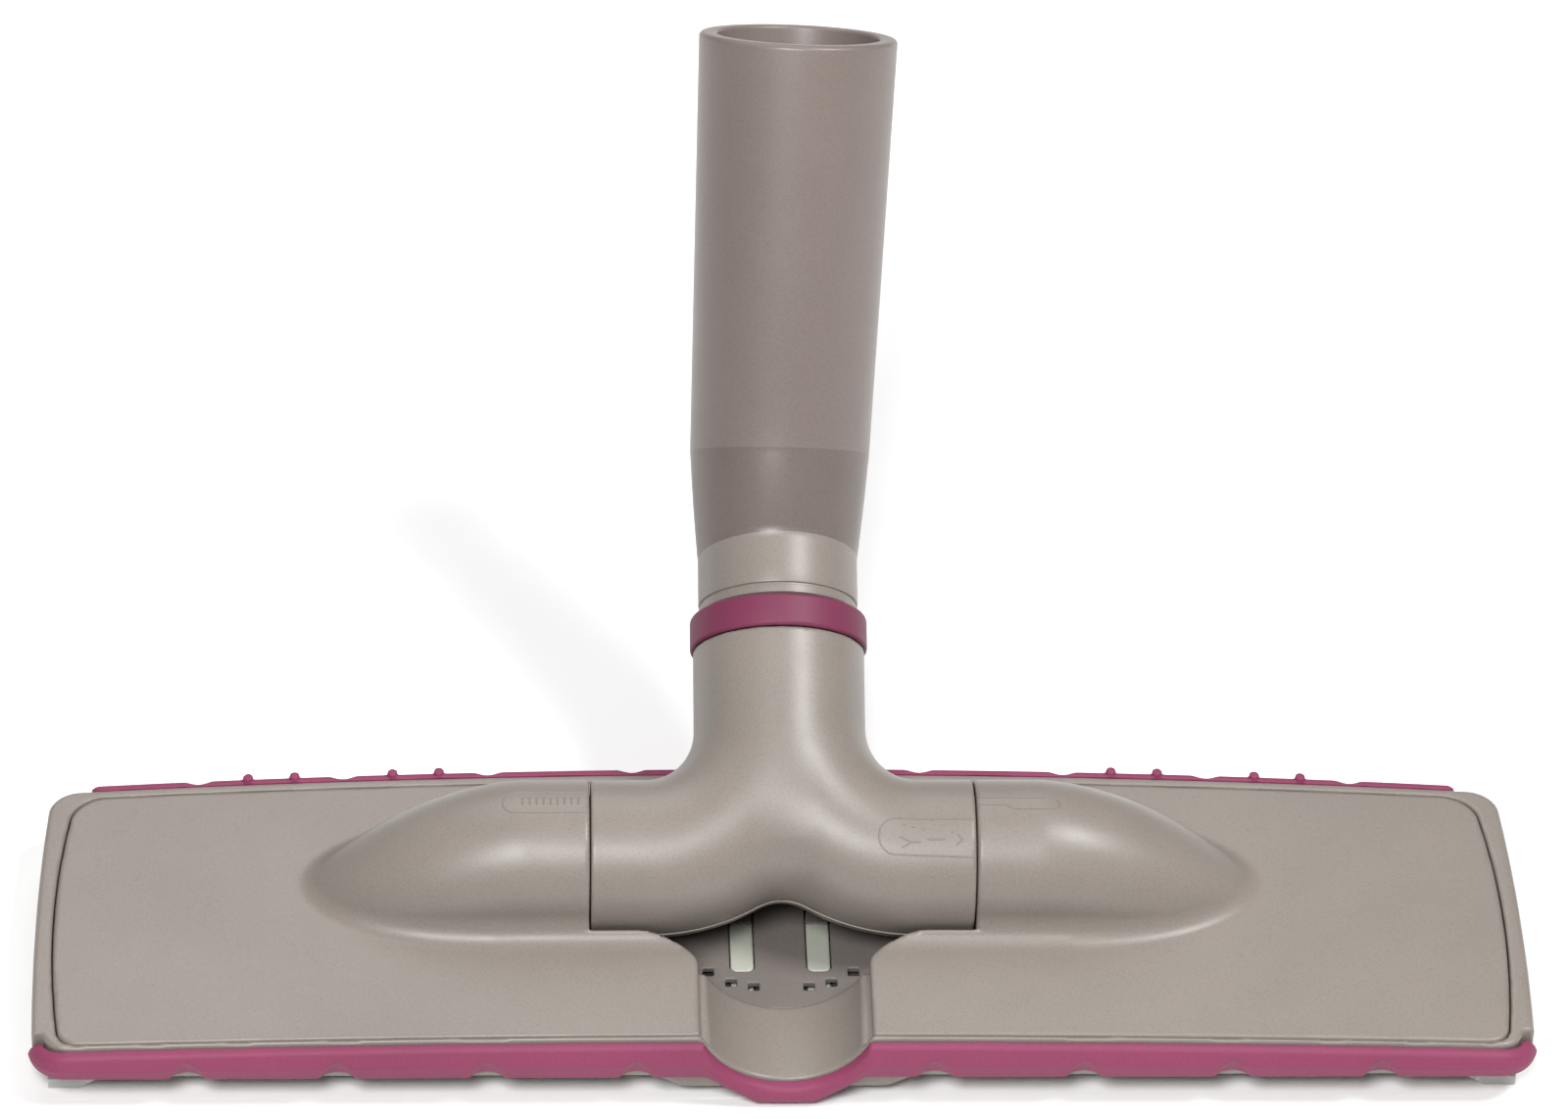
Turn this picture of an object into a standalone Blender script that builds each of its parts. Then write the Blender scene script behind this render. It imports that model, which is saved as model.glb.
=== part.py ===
"""Vacuum floor head with a tilting twin-duct yoke and a swivelling elbow tube.

+X runs along the head, +Y to its rear, +Z up. The origin is on the floor, under the yoke's tilt axis.
"""
import math

import bmesh
import bpy
import numpy as np
from mathutils import Matrix, Vector

MM = 0.001
GAP = 0.3 * MM                     # clearance between pieces that touch

# Head
HEAD_HALF_WIDTH = 144.8 * MM       # side of the base at its widest
FRONT_Y = -43.4 * MM               # front wall of the base
REAR_Y = 31.5 * MM                 # rear wall at the middle
REAR_BULGE = 3.0 * MM              # how much the rear wall comes forward at the ends
SIDE_BULGE = 1.6 * MM
TOP_Z = 16.5 * MM                  # top surface at the middle
CROWN = 2.5 * MM                   # how much lower the top is at the ends
EDGE_DROP = 1.0 * MM               # how much lower the top is at the front edge
PANEL_INSET = 3.6 * MM             # rim left around the cover at the sides
PANEL_FRONT_INSET = 1.2 * MM
PANEL_REAR_INSET = 2.4 * MM
PLATE = 2.2 * MM                   # cover thickness
FLOOR_Z = (2.5 * MM, 4.2 * MM)     # base floor, lower and upper face
WALL = 2.0 * MM

# Tilt axis, yoke and pods
AXIS_Z = 22.0 * MM
ARM_R = 15.4 * MM
ARM_HALF = 37.2 * MM               # half length of the arms between the pods
POD_FACE = 37.6 * MM               # where the pods start
POD_NOSE = (50.0 * MM, 91.5 * MM)  # where a pod starts to taper, and its tip
POD_BORE_R = 13.5 * MM
SPIGOT_R = 12.2 * MM
SPIGOT_END = 50.0 * MM
BUSH_PLAY = 0.3 * MM               # running clearance of the yoke's spigots in their bushes
ARM_BORE_R = 11.0 * MM
NECK_LEAN = math.radians(-60.0)    # neck's lean back from vertical, about X
NECK_R = 16.85 * MM
NECK_BORE_R = 14.6 * MM
NECK_END = 42.3 * MM               # distance of the neck's end face from the tilt axis
SHOULDER_R = 11.0 * MM             # concave corner between arm and neck
CROTCH_R = 31.0 * MM               # outer bend of each arm, below the crotch
CROTCH_X = 21.0 * MM
CROTCH_U = 15.8 * MM
TROUGH_R = 17.3 * MM               # half-round channel that the neck folds into
TROUGH_BACK_Y = -23.5 * MM

# Collar and elbow tube, as distances along the neck from the tilt axis
COLLAR = (42.5 * MM, 49.0 * MM)
COLLAR_R = 17.45 * MM
SWIVEL_AT_REST = math.radians(4.3)
TUBE_NECK_R = 15.75 * MM
CONE_START = 61.5 * MM
CONE_LENGTH = 21.6 * MM
CONE_TILT = math.radians(17.0)
TUBE_LENGTH = 83.0 * MM
TUBE_TILT = math.radians(30.0)
TUBE_LOW_R = 17.75 * MM
MOUTH_R = 19.5 * MM
MOUTH_BORE_R = 16.0 * MM
SOCKET_DEPTH = 46.0 * MM

# Brush carrier and sole
BRUSH_Y = (-33.8 * MM, 23.5 * MM)  # front and rear bristle rows
BAR_HALF = 3.2 * MM
CARRIER_HALF = 129.0 * MM
PIN_X = 60.0 * MM
ROOF_Z = (5.0 * MM, 6.2 * MM)      # roof of the channels that hold the carrier's bars
SOLE_Z = 2.2 * MM
SOLE_HALF = 122.0 * MM
SOLE_Y = (-28.6 * MM, 18.8 * MM)
TONGUE_X = 7.5 * MM
SLOT_X = (15.0 * MM, 116.0 * MM)
SLOT_Y = (-8.5 * MM, 3.5 * MM)
MOUTH_X = (55.0 * MM, 85.0 * MM)

# Bumpers
BUMPER_DEPTH = 2.8 * MM
NOTCH_PITCH = 28.6 * MM

GREY = (0.42, 0.375, 0.345)
DARK_GREY = (0.14, 0.125, 0.12)
MAGENTA = (0.36, 0.075, 0.18)


def clear_scene():
    for obj in list(bpy.data.objects):
        bpy.data.objects.remove(obj, do_unlink=True)


def new_collection(name):
    collection = bpy.data.collections.new(name)
    bpy.context.scene.collection.children.link(collection)
    return collection


def material(name, colour, roughness=0.45, metallic=0.0):
    found = bpy.data.materials.get(name)
    if found:
        return found
    made = bpy.data.materials.new(name)
    made.use_nodes = True
    shader = made.node_tree.nodes["Principled BSDF"]
    shader.inputs["Base Color"].default_value = (*colour, 1.0)
    shader.inputs["Roughness"].default_value = roughness
    shader.inputs["Metallic"].default_value = metallic
    made.diffuse_color = (*colour, 1.0)
    return made


clear_scene()
PARTS = new_collection("floor_head")
CUTTERS = new_collection("cutters")


# ---------- modelling helpers ----------

def place(name, mesh, surface=None, matrix=None):
    """Make an object: a part when it has a material, and else a cutter."""
    obj = bpy.data.objects.new(name, mesh)
    if matrix is not None:
        obj.matrix_world = matrix
    if surface is None:
        CUTTERS.objects.link(obj)
        obj.hide_render = True
        obj.display_type = "WIRE"
    else:
        PARTS.objects.link(obj)
        mesh.materials.append(surface)
    return obj


def finish_mesh(name, bm):
    bmesh.ops.recalc_face_normals(bm, faces=bm.faces)
    mesh = bpy.data.meshes.new(name)
    bm.to_mesh(mesh)
    bm.free()
    return mesh


def box(name, low, high, surface=None, matrix=None):
    low, high = Vector(low), Vector(high)
    bm = bmesh.new()
    size = high - low
    fit = Matrix.Translation((low + high) / 2) @ Matrix.Diagonal((*size, 1.0))
    bmesh.ops.create_cube(bm, size=1.0, matrix=fit)
    return place(name, finish_mesh(name, bm), surface, matrix)


def cylinder(name, radius, start, end, surface=None, segments=36, end_radius=None, matrix=None):
    start, end = Vector(start), Vector(end)
    along = end - start
    turn = along.to_track_quat("Z", "Y").to_matrix().to_4x4()
    bm = bmesh.new()
    bmesh.ops.create_cone(bm, cap_ends=True, segments=segments, radius1=radius,
                          radius2=radius if end_radius is None else end_radius,
                          depth=along.length, matrix=Matrix.Translation((start + end) / 2) @ turn)
    return place(name, finish_mesh(name, bm), surface, matrix)


def loft(name, rings, surface=None, matrix=None):
    """Skin a closed body over rings of points that all have the same count."""
    bm = bmesh.new()
    loops = [[bm.verts.new(point) for point in ring] for ring in rings]
    for near, far in zip(loops, loops[1:]):
        for i in range(len(near)):
            j = (i + 1) % len(near)
            bm.faces.new((near[i], near[j], far[j], far[i]))
    bm.faces.new(loops[0])
    bm.faces.new(loops[-1])
    return place(name, finish_mesh(name, bm), surface, matrix)


def flat_piece(name, outline, low_z, high_z, surface=None, matrix=None):
    """A plate with a flat outline, from a filled curve."""
    curve = bpy.data.curves.new(name, "CURVE")
    curve.dimensions = "2D"
    curve.fill_mode = "BOTH"
    curve.extrude = (high_z - low_z) / 2
    spline = curve.splines.new("POLY")
    spline.points.add(len(outline) - 1)
    for point, (x, y) in zip(spline.points, outline):
        point.co = (x, y, 0.0, 1.0)
    spline.use_cyclic_u = True
    guide = bpy.data.objects.new(name + "_curve", curve)
    CUTTERS.objects.link(guide)
    depsgraph = bpy.context.evaluated_depsgraph_get()
    raw = bpy.data.meshes.new_from_object(guide.evaluated_get(depsgraph))
    bm = bmesh.new()
    bm.from_mesh(raw)
    bmesh.ops.remove_doubles(bm, verts=bm.verts, dist=0.01 * MM)
    bmesh.ops.translate(bm, verts=bm.verts, vec=(0, 0, (low_z + high_z) / 2))
    mesh = finish_mesh(name, bm)
    bpy.data.objects.remove(guide, do_unlink=True)
    bpy.data.curves.remove(curve)
    bpy.data.meshes.remove(raw)
    return place(name, mesh, surface, matrix)


def turned(name, profile, surface, matrix, closed=True, steps=24):
    """Turn a profile of (radius, height) points about Z; it runs down its outer side."""
    mesh = bpy.data.meshes.new(name)
    count = len(profile)
    edges = [(i, i + 1) for i in range(count - 1)] + ([(count - 1, 0)] if closed else [])
    mesh.from_pydata([(r, 0.0, z) for r, z in profile], edges, [])
    obj = place(name, mesh, surface, matrix)
    screw = obj.modifiers.new("turn", "SCREW")
    screw.axis = "Z"
    screw.angle = 2 * math.pi
    screw.steps = screw.render_steps = steps
    screw.use_merge_vertices = True
    screw.merge_threshold = 0.005 * MM
    return obj


def ring_profile(inner, outer, low, high):
    return [(outer, high), (outer, low), (inner, low), (inner, high)]


def boolean(obj, other, operation="DIFFERENCE", solver="EXACT"):
    modifier = obj.modifiers.new(other.name, "BOOLEAN")
    modifier.operation = operation
    modifier.object = other
    modifier.solver = solver
    return obj


def cut(obj, *others):
    for other in others:
        boolean(obj, other)
    return obj


def join(obj, *others):
    for other in others:
        boolean(obj, other, "UNION")
    return obj


def circle(centre, radius, u, v, count=36):
    return [centre + (math.cos(a) * u + math.sin(a) * v) * radius
            for a in np.linspace(0, 2 * math.pi, count, endpoint=False)]


def smooth(obj, angle=35.0):
    """Shade a round piece smooth, with its real edges kept sharp."""
    obj.data.shade_smooth()
    if obj.data.polygons:
        obj.data.set_sharp_from_angle(angle=math.radians(angle))
    return obj


# ---------- shared shapes of the head ----------

def top_height(x, y):
    return TOP_Z - CROWN * (x / HEAD_HALF_WIDTH) ** 2 - EDGE_DROP * (y / FRONT_Y) ** 2


def crown_block(name, lower_by, surface=None):
    """Everything below the head's crowned top, moved down by lower_by."""
    rings = []
    for x in np.linspace(-150 * MM, 150 * MM, 13):
        ring = [Vector((x, y, top_height(x, y) - lower_by))
                for y in np.linspace(-50 * MM, 42 * MM, 5)]
        ring += [Vector((x, 42 * MM, -5 * MM)), Vector((x, -50 * MM, -5 * MM))]
        rings.append(ring)
    return loft(name, rings, surface)


def side_x(y):
    return HEAD_HALF_WIDTH - SIDE_BULGE * ((y + 12 * MM) / (44 * MM)) ** 2


def rear_y(x):
    return REAR_Y - REAR_BULGE * (x / HEAD_HALF_WIDTH) ** 2


def head_outline(inset_side, inset_front, inset_rear, front_corner, rear_corner):
    """Plan outline of the head, moved in, with rounded corners."""
    front = FRONT_Y + inset_front
    right = []
    for a in np.linspace(-math.pi / 2, 0, 6):
        x = side_x(front) - inset_side - front_corner + front_corner * math.cos(a)
        right.append((x, front + front_corner + front_corner * math.sin(a)))
    for y in np.linspace(-20 * MM, 10 * MM, 3):
        right.append((side_x(y) - inset_side, y))
    corner_y = rear_y(side_x(REAR_Y)) - inset_rear - rear_corner
    corner_x = side_x(corner_y) - inset_side - rear_corner
    for a in np.linspace(0, math.pi / 2 - 0.1, 6):
        right.append((corner_x + rear_corner * math.cos(a), corner_y + rear_corner * math.sin(a)))
    for x in np.linspace(110 * MM, 0, 6):
        right.append((x, rear_y(x) - inset_rear))
    left = [(-x, y) for x, y in reversed(right[:-1])]
    return right + left


def bay_outline(extra=0.0):
    """Plan outline of the bay that the yoke's arms and crotch turn in."""
    arm_y = ARM_R + 0.6 * MM + extra
    half = POD_FACE - 0.1 * MM + extra
    throat = 16.6 * MM + extra
    corner_x, corner_y = 12.0 * MM - extra, -TROUGH_BACK_Y - arm_y + extra - 0.2 * MM
    right = [(throat, TROUGH_BACK_Y - extra)]
    for a in np.linspace(math.pi, 0.55 * math.pi, 6):
        x = throat + corner_x + corner_x * math.cos(a)
        right.append((x, -arm_y - corner_y + corner_y * math.sin(a)))
    right += [(half, -arm_y), (half, arm_y), (19 * MM + extra, arm_y), (19 * MM + extra, 24 * MM + extra)]
    left = [(-x, y) for x, y in reversed(right)]
    return right + left


def pod_rings(side, shrink, start, end):
    """Circles along a pod: straight first, then smaller and lower towards the nose."""
    rings = []
    taper_start, taper_end = POD_NOSE
    stations = [start] + list(np.linspace(taper_start, end, 8))
    for x in stations:
        t = max(0.0, (x - taper_start) / (taper_end - taper_start))
        centre = Vector((side * x, 0.0, AXIS_Z - 14 * MM * t ** 1.5))
        radius = ARM_R - 6.9 * MM * t ** 2.5 - shrink
        rings.append(circle(centre, radius, Vector((0, 1, 0)), Vector((0, 0, 1)), 28))
    return rings


NECK_FRAME = Matrix.Translation((0, 0, AXIS_Z)) @ Matrix.Rotation(NECK_LEAN, 4, "X")


# ---------- head ----------

def make_cover(grey):
    outline = head_outline(PANEL_INSET, PANEL_FRONT_INSET, PANEL_REAR_INSET, 5 * MM, 7 * MM)
    cover = flat_piece("top_cover", outline, 5 * MM, 30 * MM, grey)
    boolean(cover, crown_block("cover_top", 0.0), "INTERSECT")
    under = crown_block("cover_under", PLATE)
    cut(cover, under)
    for side, label in ((-1, "left"), (1, "right")):
        pod = loft(f"{label}_pod_outer", pod_rings(side, 0.0, POD_FACE, 95 * MM))
        join(cover, cut(pod, under))
    for side, label in ((-1, "left"), (1, "right")):
        cut(cover, loft(f"{label}_pod_hollow", pod_rings(side, ARM_R - POD_BORE_R, 36 * MM, 88 * MM)))
    bay = flat_piece("cover_bay", bay_outline(), 0.0, 60 * MM)
    throat = box("cover_throat", (-16.6 * MM, -60 * MM, 0), (16.6 * MM, -20 * MM, 60 * MM))
    cut(cover, bay, throat, neck_clearance())
    for i, (x, y) in enumerate(cover_screw_places()):
        boss = cylinder(f"cover_boss_{i}", 3.0 * MM, (x, y, 7.9 * MM), (x, y, 13 * MM), segments=12)
        hole = cylinder(f"cover_pilot_{i}", 1.7 * MM, (x, y, 5 * MM), (x, y, 12 * MM), segments=12)
        join(cover, boss)
        cut(cover, hole)
    return smooth(cover)


def neck_clearance():
    return cylinder("neck_clearance", TROUGH_R, (0, 0, 0), (0, 0, 70 * MM), matrix=NECK_FRAME)


def cover_screw_places():
    return [(x, y) for x in (-108 * MM, 108 * MM) for y in (-19 * MM, 12 * MM)]


def sole_screw_places():
    return [(x, y) for x in (-70 * MM, 70 * MM) for y in (-22 * MM, 15 * MM)]


def make_base(grey):
    outer = head_outline(0.0, 0.0, 0.0, 5 * MM, 9 * MM)
    base = flat_piece("base_housing", outer, FLOOR_Z[0], 30 * MM, grey)
    boolean(base, crown_block("base_top", 0.0), "INTERSECT")
    inner = head_outline(PANEL_INSET + WALL, PANEL_FRONT_INSET + WALL, PANEL_REAR_INSET + WALL,
                         4 * MM, 6 * MM)
    seat = head_outline(PANEL_INSET - GAP, PANEL_FRONT_INSET - GAP, PANEL_REAR_INSET - GAP,
                        5 * MM, 7 * MM)
    ledge = crown_block("panel_ledge", PLATE + GAP)
    cut(base, flat_piece("base_hollow", inner, FLOOR_Z[1], 40 * MM))
    cut(base, cut(flat_piece("panel_seat", seat, 8 * MM, 40 * MM), ledge))
    for row, y in zip(("front", "rear"), BRUSH_Y):
        roof = box(f"{row}_channel_roof", (-133 * MM, y - 5.4 * MM, 3 * MM),
                   (133 * MM, y + 5.4 * MM, ROOF_Z[1]))
        join(base, roof)
    for side, label in ((-1, "left"), (1, "right")):
        roof = sorted_box(side, (122.5 * MM, BRUSH_Y[0] + 1 * MM, 3.1 * MM),
                          (131.5 * MM, BRUSH_Y[1] - 1 * MM, 5.4 * MM))
        join(base, box(f"{label}_link_roof", *roof))
    bay_block = flat_piece("bay_block", bay_outline(1.6 * MM), 3 * MM, 40 * MM)
    trough_block = box("trough_block", (-17.9 * MM, FRONT_Y + 0.1 * MM, 3.1 * MM),
                       (17.9 * MM, TROUGH_BACK_Y + 1 * MM, 41 * MM))
    below_cover = crown_block("below_cover", PLATE + GAP)
    above_sole = box("above_sole", (-120 * MM, -50 * MM, FLOOR_Z[0] + 0.2 * MM),
                     (120 * MM, 50 * MM, 60 * MM))
    join(base, boolean(bay_block, below_cover, "INTERSECT"))
    join(base, boolean(trough_block, below_cover, "INTERSECT"))
    for side, label in ((-1, "left"), (1, "right")):
        cradle = loft(f"{label}_cradle", pod_rings(side, 0.05 * MM, POD_FACE + 0.1 * MM, 92 * MM))
        foot = box(f"{label}_duct_foot",
                   *sorted_box(side, (50 * MM, -13 * MM, 3 * MM), (89 * MM, 13 * MM, 10 * MM)))
        boolean(boolean(cradle, below_cover, "INTERSECT"), above_sole, "INTERSECT")
        join(base, cradle, foot)
    cut(base, flat_piece("bay_hollow", bay_outline(), FLOOR_Z[1] + 0.03 * MM, 60 * MM))
    trough = cylinder("trough", TROUGH_R, (0, -60 * MM, AXIS_Z),
                      (0, TROUGH_BACK_Y + 0.1 * MM, AXIS_Z), segments=44)
    cut(base, trough, neck_clearance())
    for side, label in ((-1, "left"), (1, "right")):
        hollow = loft(f"{label}_duct_bore", pod_rings(side, ARM_R - POD_BORE_R, 36 * MM, 88 * MM))
        mouth = box(f"{label}_duct_mouth",
                    *sorted_box(side, (MOUTH_X[0], -9 * MM, 1 * MM), (MOUTH_X[1], 9 * MM, 13 * MM)))
        boolean(base, hollow, solver="MANIFOLD")
        cut(base, mouth)
    for row, y in zip(("front", "rear"), BRUSH_Y):
        for side, label in ((-1, "left"), (1, "right")):
            low, high = sorted_box(side, (19.4 * MM, y - 3.9 * MM, 0), (130 * MM, y + 3.9 * MM, ROOF_Z[0]))
            cut(base, box(f"{row}_{label}_channel", low, high))
            hole = cylinder(f"{row}_{label}_pin_hole", 1.7 * MM, (side * PIN_X, y, 0),
                            (side * PIN_X, y, 9 * MM), segments=12)
            cut(base, hole)
        cut(base, box(f"{row}_channel_middle", (-20 * MM, y - 3.9 * MM, 0),
                      (20 * MM, y + 3.9 * MM, 3.1 * MM)))
    for side, label in ((-1, "left"), (1, "right")):
        end = sorted_box(side, (124 * MM, BRUSH_Y[0], 0), (129.9 * MM, BRUSH_Y[1], 4.0 * MM))
        cut(base, box(f"{label}_link_channel", *end))
    cut_bay_details(base)
    for i, (x, y) in enumerate(cover_screw_places()):
        join(base, cylinder(f"base_boss_{i}", 4.6 * MM, (x, y, 3 * MM), (x, y, 7.5 * MM), segments=14))
        cut(base, cylinder(f"head_recess_{i}", 3.1 * MM, (x, y, 0), (x, y, 5 * MM), segments=14))
        cut(base, cylinder(f"clear_hole_{i}", 1.7 * MM, (x, y, 0), (x, y, 9 * MM), segments=12))
    for i, (x, y) in enumerate(sole_screw_places()):
        join(base, cylinder(f"sole_boss_{i}", 3.0 * MM, (x, y, 3 * MM), (x, y, 8.5 * MM), segments=14))
        cut(base, cylinder(f"sole_pilot_{i}", 1.5 * MM, (x, y, 0), (x, y, 7.5 * MM), segments=12))
    return smooth(base)


def sorted_box(side, low, high):
    xs = sorted((side * low[0], side * high[0]))
    return (xs[0], low[1], low[2]), (xs[1], high[1], high[2])


def cut_bay_details(base):
    """Slots for the brush carrier's tongues, and the six air inlets around them."""
    for side, label in ((-1, "left"), (1, "right")):
        x = side * TONGUE_X
        low, high = (x - 2.6 * MM, -13.2 * MM, 0), (x + 2.6 * MM, 6 * MM, 8 * MM)
        cut(base, box(f"{label}_tongue_slot", low, high))
        for i, (inlet_x, inlet_y) in enumerate(((5.4, -17.3), (9.8, -16.2), (14.2, -13.2))):
            centre = Vector((side * inlet_x * MM, inlet_y * MM, 0))
            reach = Vector((1.1 * MM, 1.1 * MM, 0))
            top = Vector((0, 0, 8 * MM))
            cut(base, box(f"{label}_inlet_{i}", centre - reach, centre + reach + top))


def bumper_half_ring(x):
    """Bottom and top of the front bumper at x; it dips under the trough."""
    across = abs(x)
    top = top_height(x, FRONT_Y) - 0.5 * MM
    if across < 16.0 * MM:
        top = AXIS_Z - math.sqrt(TROUGH_R ** 2 - x ** 2) - 0.3 * MM
    dip = min(1.0, max(0.0, (15.0 * MM - across) / (9.4 * MM)))
    bottom = 6.0 * MM - 5.2 * MM * dip
    return bottom, min(top, 15.0 * MM)


def strip_ring(point, outward, depth, bottom, top):
    """Section of a bumper strip: flat back, two slanted faces meeting at a soft nose."""
    height = top - bottom
    profile = ((0, 0), (0.55, 0.02), (0.92, 0.22), (1.0, 0.5), (0.85, 0.8), (0.5, 0.98), (0, 1.0))
    return [Vector((point[0] + outward[0] * depth * n, point[1] + outward[1] * depth * n,
                    bottom + height * z)) for n, z in profile]


def front_path():
    """Stations along the front bumper: place, outward direction and position across."""
    wrap_x, corner = 142.2 * MM, 5.0 * MM
    face_y = FRONT_Y - GAP
    side = [((wrap_x, y), (1.0, 0.0)) for y in (-34 * MM,)]
    for a in np.linspace(0, -math.pi / 2, 6):
        centre = (wrap_x - corner, face_y + corner)
        out = (math.cos(a), math.sin(a))
        side.append(((centre[0] + corner * out[0], centre[1] + corner * out[1]), out))
    xs = (125, 100, 75, 50, 30, 18, 16.5, 16, 15, 13.5, 12, 10, 8, 5.6, 2.8, 0)
    side += [((x * MM, face_y), (0.0, -1.0)) for x in xs]
    mirrored = [((-p[0], p[1]), (-n[0], n[1])) for p, n in reversed(side[:-1])]
    return side + mirrored


def make_front_bumper(magenta):
    rings = []
    for point, out in front_path():
        bottom, top = bumper_half_ring(point[0])
        rings.append(strip_ring(point, out, BUMPER_DEPTH, bottom, top))
    bumper = loft("front_bumper", rings, magenta)
    for i in range(1, 5):
        for side in (-1, 1):
            x = side * i * NOTCH_PITCH
            y = FRONT_Y - GAP - BUMPER_DEPTH - 0.7 * MM
            groove = cylinder(f"front_notch_{side * i}", 2.1 * MM, (x, y, 2 * MM),
                              (x, y, 10.5 * MM), segments=12)
            cut(bumper, groove)
    return smooth(bumper, 50)


def make_rear_bumper(magenta):
    rings = []
    for x in np.linspace(-136 * MM, 136 * MM, 11):
        point = (x, rear_y(x) + 1.5 * GAP)
        top = top_height(x, REAR_Y) - 0.4 * MM
        rings.append(strip_ring(point, (0.0, 1.0), 3.0 * MM, top - 7.5 * MM, top))
    bumper = loft("rear_bumper", rings, magenta)
    for i in (-4, -3, -2, -1, 1, 2, 3, 4):
        x = i * NOTCH_PITCH
        y = rear_y(x) + 4.0 * MM
        cut(bumper, cylinder(f"rear_notch_{i}", 2.1 * MM, (x, y, 2 * MM), (x, y, 30 * MM), segments=12))
    for i in (-3.5, -2.5, 2.5, 3.5):
        for step in (-4.6 * MM, 4.6 * MM):
            x = i * NOTCH_PITCH + step
            y = rear_y(x)
            top = top_height(x, REAR_Y)
            rib = cylinder(f"rear_rib_{i}_{step:.4f}", 1.0 * MM, (x, y + 1.6 * MM, top - 6.5 * MM),
                           (x, y + 1.6 * MM, top + 0.5 * MM), segments=12)
            join(bumper, rib)
    return smooth(bumper, 50)


def cut_rebates(base):
    """Room for the bumper strip where it wraps around the base's front corners."""
    for side, label in ((-1, "left"), (1, "right")):
        low, high = sorted_box(side, (130 * MM, -50 * MM, 0), (150 * MM, -33.6 * MM, 30 * MM))
        block = box(f"{label}_rebate", low, high)
        kept = rounded_rectangle(-141.9 * MM, FRONT_Y - 0.02 * MM, 141.9 * MM, 0, 5 * MM)
        cut(base, cut(block, flat_piece(f"{label}_rebate_core", kept, -1 * MM, 60 * MM)))
    return base


def make_sole(steel):
    sole_outline = rounded_rectangle(-SOLE_HALF, SOLE_Y[0], SOLE_HALF, SOLE_Y[1], 4 * MM)
    sole = flat_piece("sole_plate", sole_outline, 0.0, SOLE_Z, steel)
    for side, label in ((-1, "left"), (1, "right")):
        low, high = sorted_box(side, (SLOT_X[0], SLOT_Y[0], -1 * MM), (SLOT_X[1], SLOT_Y[1], 4 * MM))
        cut(sole, box(f"{label}_suction_slot", low, high))
        x = side * TONGUE_X
        cut(sole, box(f"{label}_sole_tongue_slot", (x - 2.6 * MM, -40 * MM, -1 * MM),
                      (x + 2.6 * MM, 6 * MM, 4 * MM)))
        for row, y in lint_rows():
            low, high = sorted_box(side, (19.5 * MM, y - 2.6 * MM, -1 * MM),
                                   (110.5 * MM, y + 2.6 * MM, 1.2 * MM))
            cut(sole, box(f"{row}_{label}_lint_groove", low, high))
    for i, (x, y) in enumerate(sole_screw_places()):
        cut(sole, cylinder(f"sole_recess_{i}", 2.7 * MM, (x, y, -1 * MM), (x, y, 1.5 * MM), segments=14))
        cut(sole, cylinder(f"sole_hole_{i}", 1.5 * MM, (x, y, -1 * MM), (x, y, 5 * MM), segments=12))
    return sole


def lint_rows():
    return (("front", -13.5 * MM), ("rear", 8.5 * MM))


def rounded_rectangle(x0, y0, x1, y1, radius, steps=5):
    points = []
    corners = ((x1 - radius, y0 + radius, -90), (x1 - radius, y1 - radius, 0),
               (x0 + radius, y1 - radius, 90), (x0 + radius, y0 + radius, 180))
    for cx, cy, start in corners:
        for a in np.linspace(math.radians(start), math.radians(start + 90), steps):
            points.append((cx + radius * math.cos(a), cy + radius * math.sin(a)))
    return points


def make_carrier(white, bristle, steel):
    carrier = box("brush_carrier", (-CARRIER_HALF, BRUSH_Y[0] - BAR_HALF, 1.2 * MM),
                  (CARRIER_HALF, BRUSH_Y[0] + BAR_HALF, 2.8 * MM), white)
    join(carrier, box("rear_bar", (-CARRIER_HALF, BRUSH_Y[1] - BAR_HALF, 1.2 * MM),
                      (CARRIER_HALF, BRUSH_Y[1] + BAR_HALF, 2.79 * MM)))
    for side, label in ((-1, "left"), (1, "right")):
        for row, y in zip(("front", "rear"), BRUSH_Y):
            low, high = sorted_box(side, (21 * MM, y - BAR_HALF + 0.1 * MM, 2 * MM),
                                   (128.8 * MM, y + BAR_HALF - 0.1 * MM, 4.6 * MM))
            join(carrier, box(f"{row}_{label}_rib", low, high))
        low, high = sorted_box(side, (125 * MM, BRUSH_Y[0], 1.25 * MM), (128.9 * MM, BRUSH_Y[1], 2.85 * MM))
        join(carrier, box(f"{label}_link", low, high))
        x = side * TONGUE_X
        join(carrier, box(f"{label}_tongue_arm", (x - 2.2 * MM, BRUSH_Y[0], 0.9 * MM),
                          (x + 2.2 * MM, 4 * MM, 2.1 * MM)))
        join(carrier, box(f"{label}_tongue", (x - 2.25 * MM, -12.8 * MM, 1.0 * MM),
                          (x + 2.25 * MM, 4.1 * MM, 4.0 * MM)))
    spans = {"front_left_bristles": (-1, 0), "front_right_bristles": (1, 0), "rear_bristles": (0, 1)}
    for name, (side, row) in spans.items():
        y = BRUSH_Y[row]
        x0, x1 = {-1: (-123 * MM, -21 * MM), 1: (21 * MM, 123 * MM), 0: (-123 * MM, 123 * MM)}[side]
        cut(carrier, box(name + "_groove", (x0 - GAP, y - 1.3 * MM, 0), (x1 + GAP, y + 1.3 * MM, 2.3 * MM)))
        box(name, (x0, y - 1.0 * MM, 0.4 * MM), (x1, y + 1.0 * MM, 2.0 * MM), bristle)
    for row, y in zip(("front", "rear"), BRUSH_Y):
        for side, label in ((-1, "left"), (1, "right")):
            make_pin_and_spring(carrier, f"{row}_{label}", side * PIN_X, y, steel)
    return carrier


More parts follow.
